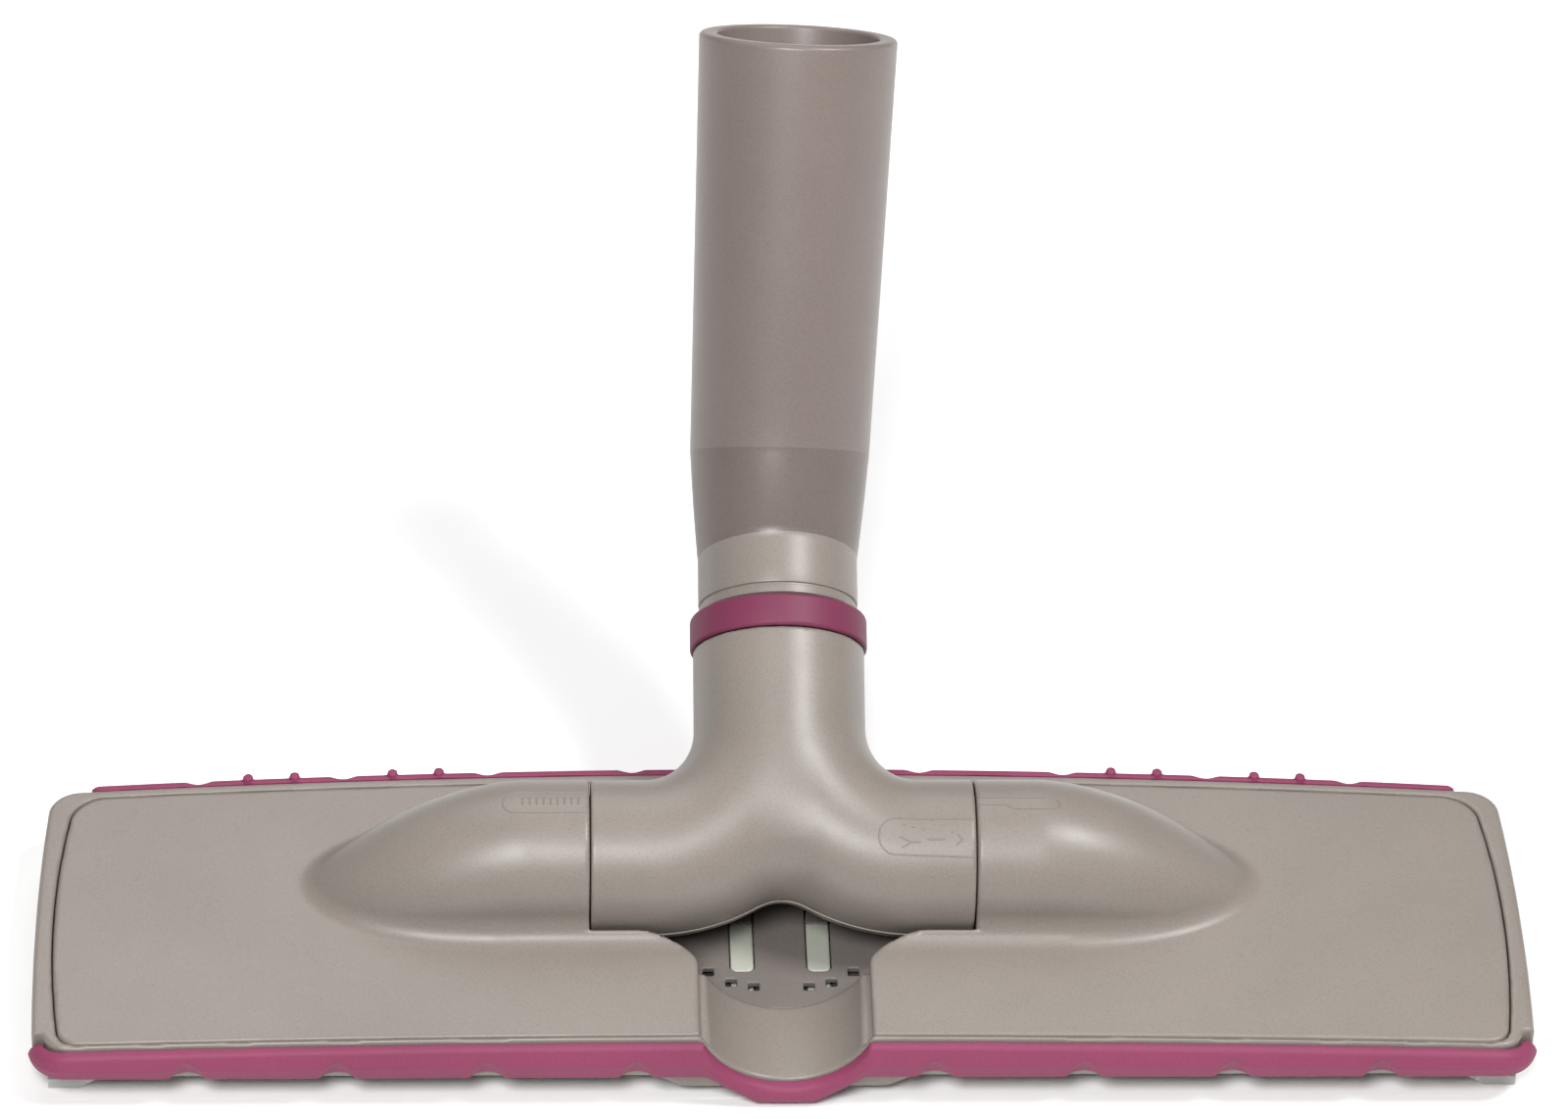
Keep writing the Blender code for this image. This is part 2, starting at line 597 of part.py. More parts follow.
def make_pin_and_spring(carrier, label, x, y, steel):
    """A shoulder pin from the carrier up through the base, with the return spring under its head."""
    cut(carrier, cylinder(f"{label}_pin_bore", 1.35 * MM, (x, y, 2.9 * MM), (x, y, 9 * MM), segments=12))
    profile = [(0, 5.4), (2.9, 5.4), (2.9, 4.6), (1.05, 4.6), (1.05, -3.9), (0, -3.9)]
    place_at = Matrix.Translation((x, y, 7.1 * MM))
    smooth(turned(f"{label}_shoulder_pin", [(r * MM, z * MM) for r, z in profile], steel,
                  place_at, False, 14))
    curve = bpy.data.curves.new(f"{label}_coil", "CURVE")
    curve.dimensions = "3D"
    curve.bevel_depth = 0.25 * MM
    curve.bevel_resolution = 0
    curve.use_fill_caps = True
    spline = curve.splines.new("POLY")
    turns, per_turn, mean_r = 4, 9, 2.2 * MM
    low, high = ROOF_Z[1] + GAP + 0.25 * MM, 11.7 * MM - GAP - 0.25 * MM
    count = turns * per_turn
    spline.points.add(count)
    for i, point in enumerate(spline.points):
        a = 2 * math.pi * i / per_turn
        rise = low + (high - low) * i / count
        point.co = (mean_r * math.cos(a), mean_r * math.sin(a), rise, 1.0)
    guide = bpy.data.objects.new(f"{label}_coil", curve)
    CUTTERS.objects.link(guide)
    depsgraph = bpy.context.evaluated_depsgraph_get()
    raw = bpy.data.meshes.new_from_object(guide.evaluated_get(depsgraph))
    bm = bmesh.new()
    bm.from_mesh(raw)
    bmesh.ops.remove_doubles(bm, verts=bm.verts, dist=0.01 * MM)
    bpy.data.objects.remove(guide, do_unlink=True)
    bpy.data.curves.remove(curve)
    mesh = finish_mesh(f"{label}_return_spring", bm)
    smooth(place(f"{label}_return_spring", mesh, steel, Matrix.Translation((x, y, 0))))


def make_screws(steel):
    head = [(0, 1.2), (2.4, 1.2), (2.4, 0), (1.2, -1.2), (1.2, -5.6), (0, -5.6)]
    profile = [(r * MM, z * MM) for r, z in head]
    down = Matrix.Rotation(math.pi, 4, "X")
    for i, (x, y) in enumerate(cover_screw_places()):
        at = Matrix.Translation((x, y, 4.0 * MM)) @ down
        screw = turned(f"cover_screw_{i + 1}", profile, steel, at, False, 14)
        smooth(cut(screw, recess(f"cover_recess_{i}", 1.2 * MM, at)))
    for i, (x, y) in enumerate(sole_screw_places()):
        at = Matrix.Translation((x, y, 1.15 * MM)) @ down
        flat = [(0, 0.9), (2.3, 0.9), (2.3, 0), (1.1, -0.05), (1.1, -5.4), (0, -5.4)]
        screw = turned(f"sole_screw_{i + 1}", [(r * MM, z * MM) for r, z in flat], steel, at, False, 14)
        smooth(cut(screw, recess(f"sole_recess_cross_{i}", 0.9 * MM, at)))


def recess(name, head_top, at):
    """Cross recess in a screw's head."""
    cross = box(name, (-1.3 * MM, -0.3 * MM, head_top - 0.7 * MM),
                (1.3 * MM, 0.3 * MM, head_top + 1 * MM), None, at)
    other = box(name + "_b", (-0.3 * MM, -1.3 * MM, head_top - 0.69 * MM),
                (0.3 * MM, 1.3 * MM, head_top + 0.99 * MM), None, at)
    return join(cross, other)


def make_feet(clear_plastic, felt):
    for side, label in ((-1, "left"), (1, "right")):
        for row, y0, y1 in (("front", -40.5 * MM, -30 * MM), ("rear", 16 * MM, 27 * MM)):
            x0, x1, x2 = 132.5 * MM, 135.5 * MM, 141.4 * MM
            rings = []
            for x, low in ((x0, 1.9 * MM), (x1, 0.0), (x2, 0.0)):
                rings.append([Vector((side * x, y0, low)), Vector((side * x, y1, low)),
                              Vector((side * x, y1, 2.2 * MM)), Vector((side * x, y0, 2.2 * MM))])
            loft(f"{row}_{label}_glide_foot", rings, clear_plastic)
        for row, y in lint_rows():
            low, high = sorted_box(side, (20 * MM, y - 2.2 * MM, 0.15 * MM),
                                   (110 * MM, y + 2.2 * MM, 0.95 * MM))
            box(f"{row}_{label}_lint_strip", low, high, felt)


# ---------- yoke ----------

def neck_point(x, u):
    """A point on the yoke's split plane: x across, u along the neck."""
    return Vector((x, 0, u))


def arch_outline(radius):
    """Outline under the crotch, between the outer bends of the two arms."""
    outline = []
    for x in np.linspace(-CROTCH_X, CROTCH_X, 19):
        outline.append((x, CROTCH_U - math.sqrt(radius ** 2 - (CROTCH_X - abs(x)) ** 2)))
    return outline + [(CROTCH_X, -30 * MM), (-CROTCH_X, -30 * MM)]


def crotch_block(name, radius):
    turn = NECK_FRAME @ Matrix.Rotation(math.pi / 2, 4, "X")
    return flat_piece(name, arch_outline(radius), -30 * MM, 30 * MM, None, turn)


def shoulder(name, side):
    """Bent tube that rounds the corner between an arm and the neck."""
    radius = 13.5 * MM
    centre_x, centre_u = NECK_R + SHOULDER_R, ARM_R + SHOULDER_R
    reach = SHOULDER_R + radius
    rings = []
    for a in np.linspace(-math.pi / 2, -math.pi, 9):
        centre = neck_point(side * (centre_x + reach * math.cos(a)), centre_u + reach * math.sin(a))
        across = Vector((side * math.cos(a), 0, math.sin(a)))
        rings.append(circle(centre, radius, across, Vector((0, 1, 0)), 24))
    return loft(name, rings, None, NECK_FRAME)


def make_yoke_shell(name, out_side, grey):
    """One welded half of the yoke: arms, neck and shoulders, cut in two by the plane of the Y."""
    arm_start, arm_end = (-ARM_HALF, 0, AXIS_Z), (ARM_HALF, 0, AXIS_Z)
    shell = cylinder(name, ARM_R, arm_start, arm_end, grey, 44)
    neck = cylinder(name + "_neck", NECK_R, (0, 0, 4 * MM), (0, 0, NECK_END), segments=44, matrix=NECK_FRAME)
    join(shell, neck, shoulder(name + "_left_shoulder", -1), shoulder(name + "_right_shoulder", 1))
    spigot = cylinder(name + "_spigot", SPIGOT_R, (-SPIGOT_END, 0, AXIS_Z), (SPIGOT_END, 0, AXIS_Z))
    cut(shell, crotch_block(name + "_crotch", CROTCH_R))
    join(shell, cut(spigot, crotch_block(name + "_spigot_crotch", CROTCH_R - 1 * MM)))
    core = cylinder(name + "_core", ARM_BORE_R, (-60 * MM, 0, AXIS_Z), (60 * MM, 0, AXIS_Z), segments=40)
    bore = cylinder(name + "_neck_bore", NECK_BORE_R, (0, 0, 12 * MM), (0, 0, 50 * MM), matrix=NECK_FRAME)
    entry = cylinder(name + "_entry", 9 * MM, (0, 0, 2 * MM), (0, 0, 12.2 * MM), segments=36,
                     end_radius=NECK_BORE_R - 0.1 * MM, matrix=NECK_FRAME)
    join(core, bore, entry)
    cut(core, crotch_block(name + "_core_crotch", CROTCH_R - 2.5 * MM))
    cut(shell, core)
    near, far = 0.06 * MM, 40 * MM
    ys = (-far, -near) if out_side > 0 else (near, far)
    half = box(name + "_half", (-60 * MM, ys[0], -30 * MM), (60 * MM, ys[1], 60 * MM), None, NECK_FRAME)
    boolean(shell, half, "INTERSECT")
    return smooth(shell)


def make_swivel(grey, magenta, white, rubber):
    collar = [(15.95, 42.55), (16.6, 42.45), (COLLAR_R / MM, 42.7), (COLLAR_R / MM, 48.7),
              (17.2, 49.0), (15.95, 49.0)]
    outline = [(r * MM, z * MM) for r, z in reversed(collar)]
    smooth(turned("collar_ring", outline, magenta, NECK_FRAME, steps=40))
    clip = ring_profile(14.65 * MM, 15.6 * MM, 43.0 * MM, 44.0 * MM)
    smooth(turned("swivel_clip", clip, white, NECK_FRAME))
    seal = ring_profile(13.15 * MM, 14.35 * MM, 31.0 * MM, 33.0 * MM)
    smooth(turned("swivel_seal", seal, rubber, NECK_FRAME))
    frame = NECK_FRAME @ Matrix.Rotation(SWIVEL_AT_REST, 4, "Z")
    outer = ((28.0, 14.2), (30.7, 14.2), (30.71, 12.9), (33.3, 12.9), (33.31, 14.2), (42.6, 14.2),
             (44.4, 14.25), (44.45, 15.2), (44.8, TUBE_NECK_R / MM))
    tube = loft("swivel_tube", tube_rings(outer, TUBE_NECK_R, TUBE_LOW_R, MOUTH_R, 0.0), grey, frame)
    inner = ((20.0, 11.6), (44.0, 11.6))
    cut(tube, loft("tube_bore", tube_rings(inner, 13.6 * MM, 14.8 * MM, 15.0 * MM, 5 * MM), None, frame))
    socket_top, socket_low = tube_axis(TUBE_LENGTH + 5 * MM), tube_axis(TUBE_LENGTH - SOCKET_DEPTH)
    cut(tube, cylinder("wand_socket", MOUTH_BORE_R - 0.2 * MM, socket_low, socket_top, segments=40,
                       end_radius=MOUTH_BORE_R, matrix=frame))
    smooth(tube)


def bend_point(along, tilt, start):
    return start + Vector((0, -math.sin(tilt), math.cos(tilt))) * along


def tube_axis(distance):
    """Point on the upper tube's axis, this far above the cone's end, in the neck's frame."""
    cone_end = bend_point(CONE_LENGTH, CONE_TILT, Vector((0, 0, CONE_START)))
    return bend_point(distance, TUBE_TILT, cone_end)


def tilted_ring(centre, radius, tilt):
    return circle(centre, radius, Vector((1, 0, 0)), Vector((0, math.cos(tilt), math.sin(tilt))), 40)


def tube_rings(lower, neck_r, low_r, mouth_r, past_mouth):
    """Rings of the elbow tube: straight neck, tapered bend, straight tube up to the mouth."""
    rings = [tilted_ring(Vector((0, 0, t * MM)), r * MM, 0.0) for t, r in lower]
    rings.append(tilted_ring(Vector((0, 0, CONE_START)), neck_r, -math.radians(-12)))
    rings.append(tilted_ring(tube_axis(0.0), low_r, math.radians(21)))
    rings.append(tilted_ring(tube_axis(4 * MM), low_r + (mouth_r - low_r) * 0.04, TUBE_TILT))
    rings.append(tilted_ring(tube_axis(TUBE_LENGTH - 0.6 * MM + past_mouth), mouth_r, TUBE_TILT))
    if past_mouth == 0.0:
        rings.append(tilted_ring(tube_axis(TUBE_LENGTH), mouth_r - 0.6 * MM, TUBE_TILT))
    return rings


def make_bearings(white, rubber):
    for side, label in ((-1, "left"), (1, "right")):
        frame = Matrix.Translation((side * POD_FACE, 0, AXIS_Z)) @ Matrix.Rotation(side * math.pi / 2, 4, "Y")
        bush = ring_profile(SPIGOT_R + BUSH_PLAY, POD_BORE_R - 0.35 * MM, 0.8 * MM, 11.5 * MM)
        smooth(turned(f"{label}_bearing_bush", bush, white, frame))
        seal = ring_profile(10.6 * MM, POD_BORE_R - 0.35 * MM, 12.8 * MM, 14.6 * MM)
        smooth(turned(f"{label}_duct_seal", seal, rubber, frame))


def main():
    grey = material("satin_grey", GREY, 0.42)
    magenta = material("magenta_soft", MAGENTA, 0.5)
    white = material("white_acetal", (0.62, 0.64, 0.55), 0.4)
    rubber = material("black_rubber", (0.03, 0.03, 0.03), 0.7)
    steel = material("bright_steel", (0.6, 0.6, 0.6), 0.3, 1.0)
    bristle = material("grey_bristle", (0.18, 0.17, 0.17), 0.8)
    felt = material("lint_felt", (0.45, 0.05, 0.08), 0.95)
    clear_plastic = material("clear_foot", (0.7, 0.68, 0.66), 0.25)
    make_cover(grey)
    cut_rebates(make_base(grey))
    make_front_bumper(magenta)
    make_rear_bumper(magenta)
    make_sole(material("dark_sole", DARK_GREY, 0.35))
    make_carrier(white, bristle, steel)
    make_screws(steel)
    make_feet(clear_plastic, felt)
    make_yoke_shell("yoke_front_shell", 1, grey)
    make_yoke_shell("yoke_rear_shell", -1, grey)
    make_swivel(grey, magenta, white, rubber)
    make_bearings(white, rubber)


main()
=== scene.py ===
"""Visual model of the floor head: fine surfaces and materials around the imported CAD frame.

Lengths here are in millimetres and become metres when a mesh or curve is made.
"""
import math
import random

import bmesh
import bpy
import numpy as np
from mathutils import Matrix, Vector


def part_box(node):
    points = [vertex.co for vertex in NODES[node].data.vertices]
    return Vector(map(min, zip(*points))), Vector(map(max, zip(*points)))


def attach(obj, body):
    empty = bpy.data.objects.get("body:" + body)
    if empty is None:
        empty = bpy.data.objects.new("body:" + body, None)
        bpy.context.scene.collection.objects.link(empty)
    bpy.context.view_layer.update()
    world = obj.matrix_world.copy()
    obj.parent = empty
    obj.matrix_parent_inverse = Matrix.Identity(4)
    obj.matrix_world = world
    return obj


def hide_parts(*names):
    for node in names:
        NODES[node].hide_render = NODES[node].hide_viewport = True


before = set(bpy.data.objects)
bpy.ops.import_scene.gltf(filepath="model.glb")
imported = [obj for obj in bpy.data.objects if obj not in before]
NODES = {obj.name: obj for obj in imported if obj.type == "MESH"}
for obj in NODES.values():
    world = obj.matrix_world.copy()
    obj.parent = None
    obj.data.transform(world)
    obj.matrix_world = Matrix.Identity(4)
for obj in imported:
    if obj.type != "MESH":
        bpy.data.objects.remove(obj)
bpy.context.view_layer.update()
M = 0.001


def node_box(name):
    """Lowest and highest corners of a CAD node at rest, in millimetres."""
    low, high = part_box(name)
    return np.array(low) / M, np.array(high) / M


# ---------- driving dimensions, read from the frame ----------

BASE_LOW, BASE_HIGH = node_box("base_housing")
HALF = 144.8                      # half width of the base where it is widest
FRONT_Y, REAR_Y = BASE_LOW[1], BASE_HIGH[1]
TOP_Z, CROWN, EDGE_DROP = 16.5, 2.5, 1.0
SIDE_BULGE, REAR_BULGE = 1.6, 3.0
PANEL_SIDE, PANEL_FRONT, PANEL_REAR, PLATE = 3.6, 1.2, 2.4, 2.2
GAP = 0.3
AXIS_Z = 22.0                     # height of the yoke's tilt axis
ARM_R, ARM_HALF, POD_FACE = 15.4, 37.2, 37.6
POD_TAPER, POD_TIP, POD_BORE_R = 50.0, 91.5, 13.5
TROUGH_R, TROUGH_BACK = 17.3, -23.5
NECK_R, NECK_END, NECK_BORE_R = 16.85, 42.3, 14.6
ARM_BORE_R, SPIGOT_R, SPIGOT_END = 11.0, 12.2, 50.0
BEND = 26.4                       # radius of each duct's bend, and its centre's distance from both axes
NOTCH_PITCH = 28.6
UNDERCUT = 3.4                    # height of the slanted edge under the base
TRAY_TOP, TRAY_LOW = 4.26, 2.9    # floor plate of the bay
BUMPER_DEPTH = 2.8
BASE_CORNERS = (5, 5.5)           # front and rear corner radii of the base, seen from above
PANEL_CORNERS = (3.5, 6)          # and those of the cover panel
FILLET_AT_TIP, FILLET_GROWTH = 1.8, 3.9
POD_BORE_END = 88
FRONT_ROW, REAR_ROW = -33.8, 23.5
PIN_X = 60                        # distance of the shoulder pins from the middle
NECK_LEAN = 60                    # degrees from upright
SWIVEL_AT_REST = 4.3              # degrees that the elbow tube is turned at rest
NECK_FRAME = Matrix.Translation((0, 0, AXIS_Z)) @ Matrix.Rotation(math.radians(-NECK_LEAN), 4, "X")
TUBE_FRAME = NECK_FRAME @ Matrix.Rotation(math.radians(SWIVEL_AT_REST), 4, "Z")


# ---------- distance fields ----------

def both(a, b, radius):
    """Where two shapes meet, with a round outer edge of this radius."""
    u, v = a + radius, b + radius
    corner = np.sqrt(np.maximum(u, 0) ** 2 + np.maximum(v, 0) ** 2)
    return np.minimum(np.maximum(u, v), 0) + corner - radius


def either(a, b, blend):
    """Two shapes as one, with a soft inner corner about this wide."""
    h = np.maximum(blend - np.abs(a - b), 0) / blend
    return np.minimum(a, b) - h * h * blend / 4


def filleted(a, b, radius):
    """Two shapes as one, with a circular inner corner of this radius."""
    u, v = np.maximum(radius - a, 0), np.maximum(radius - b, 0)
    return np.maximum(radius, np.minimum(a, b)) - np.sqrt(u ** 2 + v ** 2)


def without(a, b, radius):
    return both(a, -b, radius)


def slab(v, low, high):
    return np.maximum(low - v, v - high)


def block(x, y, z, low, high, corner=0.3):
    plan = both(slab(x, low[0], high[0]), slab(y, low[1], high[1]), corner)
    return np.maximum(plan, slab(z, low[2], high[2]))


def crossings(values, axis):
    """Grid edges along one axis that the surface crosses, where, and which way it faces."""
    near = np.moveaxis(values, axis, 0)[:-1]
    far = np.moveaxis(values, axis, 0)[1:]
    inside = near < 0
    found = np.argwhere(inside != (far < 0))
    key = tuple(found.T)
    share = near[key] / (near[key] - far[key])
    order = [axis] + [k for k in range(3) if k != axis]
    corner = np.empty_like(found)
    for column, k in enumerate(order):
        corner[:, k] = found[:, column]
    place = corner.astype(np.float64)
    place[:, axis] += share
    return corner, place, inside[key]


def net(values):
    """Surface net of a grid of distances: one point in each crossed cell, one quad per crossed edge."""
    cells = np.array(values.shape) - 1
    totals = np.zeros((int(np.prod(cells)), 3))
    counts = np.zeros(int(np.prod(cells)))
    faces = []
    for axis in range(3):
        corner, place, rising = crossings(values, axis)
        a, b = (axis + 1) % 3, (axis + 2) % 3
        around = []
        for step_a, step_b in ((-1, -1), (0, -1), (0, 0), (-1, 0)):
            cell = corner.copy()
            cell[:, a] += step_a
            cell[:, b] += step_b
            flat = np.ravel_multi_index(cell.T, cells, mode="clip")
            for k in range(3):
                totals[:, k] += np.bincount(flat, place[:, k], len(counts))
            counts += np.bincount(flat, None, len(counts))
            around.append(flat)
        quads = np.stack(around, axis=1)
        quads[~rising] = quads[~rising][:, ::-1]
        faces.append(quads)
    used = np.flatnonzero(counts)
    index = np.zeros(len(counts), np.int64)
    index[used] = np.arange(len(used))
    return totals[used] / counts[used, None], index[np.concatenate(faces)]


def settle(points, field, steps=3, reach=0.35):
    """Move points onto the surface along the field's slope."""
    probe = 0.02
    for _ in range(steps):
        x, y, z = points.T
        slope = np.stack([
            field(x + probe, y, z) - field(x - probe, y, z),
            field(x, y + probe, z) - field(x, y - probe, z),
            field(x, y, z + probe) - field(x, y, z - probe)], axis=1) / (2 * probe)
        steep = np.maximum((slope ** 2).sum(axis=1), 0.25)
        move = -slope * (field(x, y, z) / steep)[:, None]
        points = points + np.clip(move, -reach, reach)
    return points


def carve(name, field, low, high, cell):
    """Mesh object of a distance field inside a box."""
    axes = [np.arange(lo - 2.03 * c, hi + 3.0 * c, c) for lo, hi, c in zip(low, high, cell)]
    x, y, z = np.meshgrid(*axes, indexing="ij", sparse=True)
    values = field(x, y, z) + np.zeros((len(axes[0]), len(axes[1]), len(axes[2])))
    points, quads = net(values)
    points = points * np.array(cell) + np.array([a[0] for a in axes])
    points = settle(points, field)
    points = np.clip(points, np.array(low), np.array(high))
    return mesh_object(name, points, quads)


def mesh_object(name, points, quads):
    mesh = bpy.data.meshes.new(name)
    mesh.vertices.add(len(points))
    mesh.vertices.foreach_set("co", (np.asarray(points) * M).astype(np.float32).ravel())
    mesh.loops.add(quads.size)
    mesh.loops.foreach_set("vertex_index", quads.astype(np.int32).ravel())
    mesh.polygons.add(len(quads))
    mesh.polygons.foreach_set("loop_start", np.arange(0, quads.size, 4, dtype=np.int32))
    mesh.update(calc_edges=True)
    mesh.validate()
    mesh.shade_smooth()
    obj = bpy.data.objects.new(name, mesh)
    bpy.context.scene.collection.objects.link(obj)
    return obj


# ---------- shared shapes of the head ----------

def top_height(x, y):
    return TOP_Z - CROWN * (x / HALF) ** 2 - EDGE_DROP * (y / FRONT_Y) ** 2


def side_x(y):
    return HALF - SIDE_BULGE * ((y + 12) / 44) ** 2


def rear_y(x):
    return REAR_Y - REAR_BULGE * (x / HALF) ** 2


def panel_side(y):
    """Width of the rim beside the cover panel, which bows out more than the base does."""
    return PANEL_SIDE + 1.7 * ((y + 8) / 35) ** 2


def head_plan(x, y, side, front, rear, front_corner, rear_corner):
    """Distance to the head's outline in plan, moved in by side, front and rear."""
    across = np.abs(x) - (side_x(y) - side)
    forward = FRONT_Y + front - y
    back = y - (rear_y(x) - rear)
    shape = both(across, forward, front_corner)
    return both(shape, back, rear_corner)


def bay_plan(x, y, grow=0.0):
    """The opening that the yoke's arms and crotch turn in, negative inside it."""
    across = np.abs(x)
    arms = both(across - POD_FACE + 0.1 - grow, np.abs(y) - ARM_R - 0.6 - grow, 0.6)
    notch = np.maximum(across - 19 - grow, slab(y, 0, 24 + grow))
    corner_x, corner_y = 12.0, 7.3
    u = (16.6 + corner_x - across) / corner_x
    v = (y + ARM_R + 0.6 + corner_y) / corner_y
    rim = np.sqrt(np.maximum(u, 0) ** 2 + np.maximum(v, 0) ** 2) + np.minimum(np.maximum(u, v), 0) - 1
    throat = np.maximum(np.maximum(-rim * 8.5 - grow, y + ARM_R + 0.5), across - POD_FACE + 0.1)
    return np.minimum(np.minimum(arms, notch), throat)


def pod_section(x):
    t = np.clip((np.abs(x) - POD_TAPER) / (POD_TIP - POD_TAPER), 0, 1.12)
    return AXIS_Z - 14 * t ** 1.5, ARM_R - 6.9 * t ** 2.5


def pods(x, y, z, shrink=0.0):
    centre, radius = pod_section(x)
    return np.sqrt(y ** 2 + (z - centre) ** 2) - radius + shrink


def pod_bore(x, y, z):
    return np.maximum(pods(x, y, z, ARM_R - POD_BORE_R), np.abs(x) - POD_BORE_END)


def neck_axes(y, z):
    """Distance along the neck and out of the Y's plane, from the tilt axis."""
    lean = math.radians(NECK_LEAN)
    along = y * math.sin(lean) + (z - AXIS_Z) * math.cos(lean)
    out = y * math.cos(lean) - (z - AXIS_Z) * math.sin(lean)
    return along, out


def neck_clearance(x, y, z):
    along, out = neck_axes(y, z)
    return np.maximum(np.sqrt(x ** 2 + out ** 2) - TROUGH_R, -along)


def cover_field(x, y, z):
    top = top_height(x, y)
    plan = head_plan(x, y, panel_side(y), PANEL_FRONT, PANEL_REAR, *PANEL_CORNERS)
    plate = both(plan, z - top, 0.5)
    pod = np.maximum(pods(x, y, z), np.abs(x) - 95)
    fillet = FILLET_AT_TIP + FILLET_GROWTH * np.clip((92 - np.abs(x)) / 36, 0, 1)
    shape = filleted(plate, pod, fillet)
    shape = np.maximum(shape, top - PLATE - z)
    shape = np.maximum(shape, -pod_bore(x, y, z))
    shape = without(shape, bay_plan(x, y) + 0 * z, 0.45)
    return without(shape, neck_clearance(x, y, z), 0.45)


def base_field(x, y, z):
    top = top_height(x, y)
    outer = head_plan(x, y, 0, 0, 0, *BASE_CORNERS)
    shape = both(outer, z - top, 0.9)
    shape = both(shape, BASE_LOW[2] - z + 0 * x, 0.6)
    slant = UNDERCUT * np.clip((np.abs(x) - 19) / 6, 0, 1)
    shape = both(shape, (BASE_LOW[2] + slant - z + outer) * 0.707, 0.5)
    seat = head_plan(x, y, panel_side(y) - GAP, PANEL_FRONT - GAP, PANEL_REAR - GAP, *PANEL_CORNERS)
    seat = np.maximum(seat, top - PLATE - GAP - z)
    shape = without(shape, seat, 0.2)
    bay = np.maximum(bay_plan(x, y), TRAY_LOW - 0.1 - z)
    bay = np.maximum(bay, TROUGH_BACK - y)
    shape = without(shape, bay, 0.25)
    trough = np.maximum(np.sqrt(x ** 2 + (z - AXIS_Z) ** 2) - TROUGH_R, y - TROUGH_BACK - 0.1)
    shape = without(shape, trough, 0.7)
    shape = np.maximum(shape, -neck_clearance(x, y, z))
    shape = np.maximum(shape, -pod_bore(x, y, z))
    mouth = block(np.abs(x), y, z, (55, -9, 0), (85, 9, 13), 1.0)
    shape = without(shape, mouth, 0.3)
    corner = both(np.abs(x) - 141.9, FRONT_Y - 0.02 - y, 5)
    wrap = np.maximum(-corner, np.maximum(y + 39.0, 130 - np.abs(x)))
    shape = np.maximum(shape, -wrap)
    for row in (FRONT_ROW, REAR_ROW):
        channel = block(np.abs(x), y, z, (19.4, row - 3.9, 0), (130, row + 3.9, 5), 0.5)
        middle = block(x, y, z, (-20, row - 3.9, 0), (20, row + 3.9, 3.1), 0.5)
        pin = np.maximum(np.sqrt((np.abs(x) - PIN_X) ** 2 + (y - row) ** 2) - 3.2, z - 13)
        shape = np.maximum(shape, -np.minimum(np.minimum(channel, middle), pin))
    link = block(np.abs(x), y, z, (124, FRONT_ROW, 0), (129.9, REAR_ROW, 4.0))
    shape = np.maximum(shape, -link)
    well = block(np.abs(x), y, z, (3.6, -18.9, 0), (15.9, 6.6, 3.5), 1.0)
    shape = np.maximum(shape, -well)
    for screw_x, places, radius in ((108, (-19, 12), 3.1), (70, (-22, 15), 1.6)):
        for screw_y in places:
            hole = np.sqrt((np.abs(x) - screw_x) ** 2 + (y - screw_y) ** 2) - radius
            shape = np.maximum(shape, -np.maximum(hole, z - 9))
    return shape


def tray_field(x, y, z):
    """Floor of the bay, with the slots of the brush tongues and six square air inlets."""
    plan = np.maximum(bay_plan(x, y, -0.12), TROUGH_BACK + 0.05 - y)
    plan = np.maximum(plan, y - 15)
    shape = both(plan + 0 * z, z - TRAY_TOP, 0.15)
    shape = np.maximum(shape, TRAY_LOW - z)
    slot = block(np.abs(x), y, z, (5.02, -13.05, 0), (9.98, 6, 8), 1.5)
    shape = without(shape, slot, 0.22)
    for inlet_x, inlet_y in ((5.4, -17.3), (9.8, -16.2), (14.2, -13.2)):
        low, high = (inlet_x - 1.1, inlet_y - 1.1, 0), (inlet_x + 1.1, inlet_y + 1.1, 8)
        shape = without(shape, block(np.abs(x), y, z, low, high, 0.35), 0.25)
    return shape


def carrier_field(x, y, z):
    """Two bars joined at their ends, with a tongue on each side that reaches up into the bay."""
    across = np.abs(x)
    shape = np.full(np.broadcast_shapes(x.shape, y.shape, z.shape), 1e3)
    for row in (FRONT_ROW, REAR_ROW):
        bar = block(across, y, z, (-1, row - 3.2, 1.2), (129, row + 3.2, 2.8), 0.6)
        rib = block(across, y, z, (21, row - 3.1, 2), (128.8, row + 3.1, 4.6), 0.8)
        bar = either(bar, rib, 0.3)
        start = 21.0 if row < 0 else -1.0
        groove = block(across, y, z, (start - 0.3, row - 1.3, 0), (123.3, row + 1.3, 2.3))
        pin = np.maximum(np.sqrt((across - PIN_X) ** 2 + (y - row) ** 2) - 1.2, 2.9 - z)
        shape = np.minimum(shape, np.maximum(bar, -np.minimum(groove, pin)))
    link = block(across, y, z, (125, FRONT_ROW, 1.25), (128.9, REAR_ROW, 2.85), 0.5)
    arm = block(across, y, z, (5.3, FRONT_ROW, 0.9), (9.7, 4, 2.1), 0.4)
    tongue = both(block(across, y, z, (5.25, -12.8, 1.0), (9.75, 4.1, 9.0), 1.35), z - 4.0, 0.35)
    return np.minimum(np.minimum(shape, link), np.minimum(arm, tongue))


def cap_field(x, y, z):
    """Cap on the rear end of a tongue, with a thin upright rib along its middle."""
    across = np.abs(x)
    cap = both(block(across, y, z, (5.3, 0.4, 3.6), (9.7, 4.0, 9.0), 0.5), z - 4.4, 0.2)
    rib = both(block(across, y, z, (7.2, 0.5, 3.8), (7.8, 3.9, 9.0), 0.2), z - 4.6, 0.1)
    return np.minimum(cap, rib)


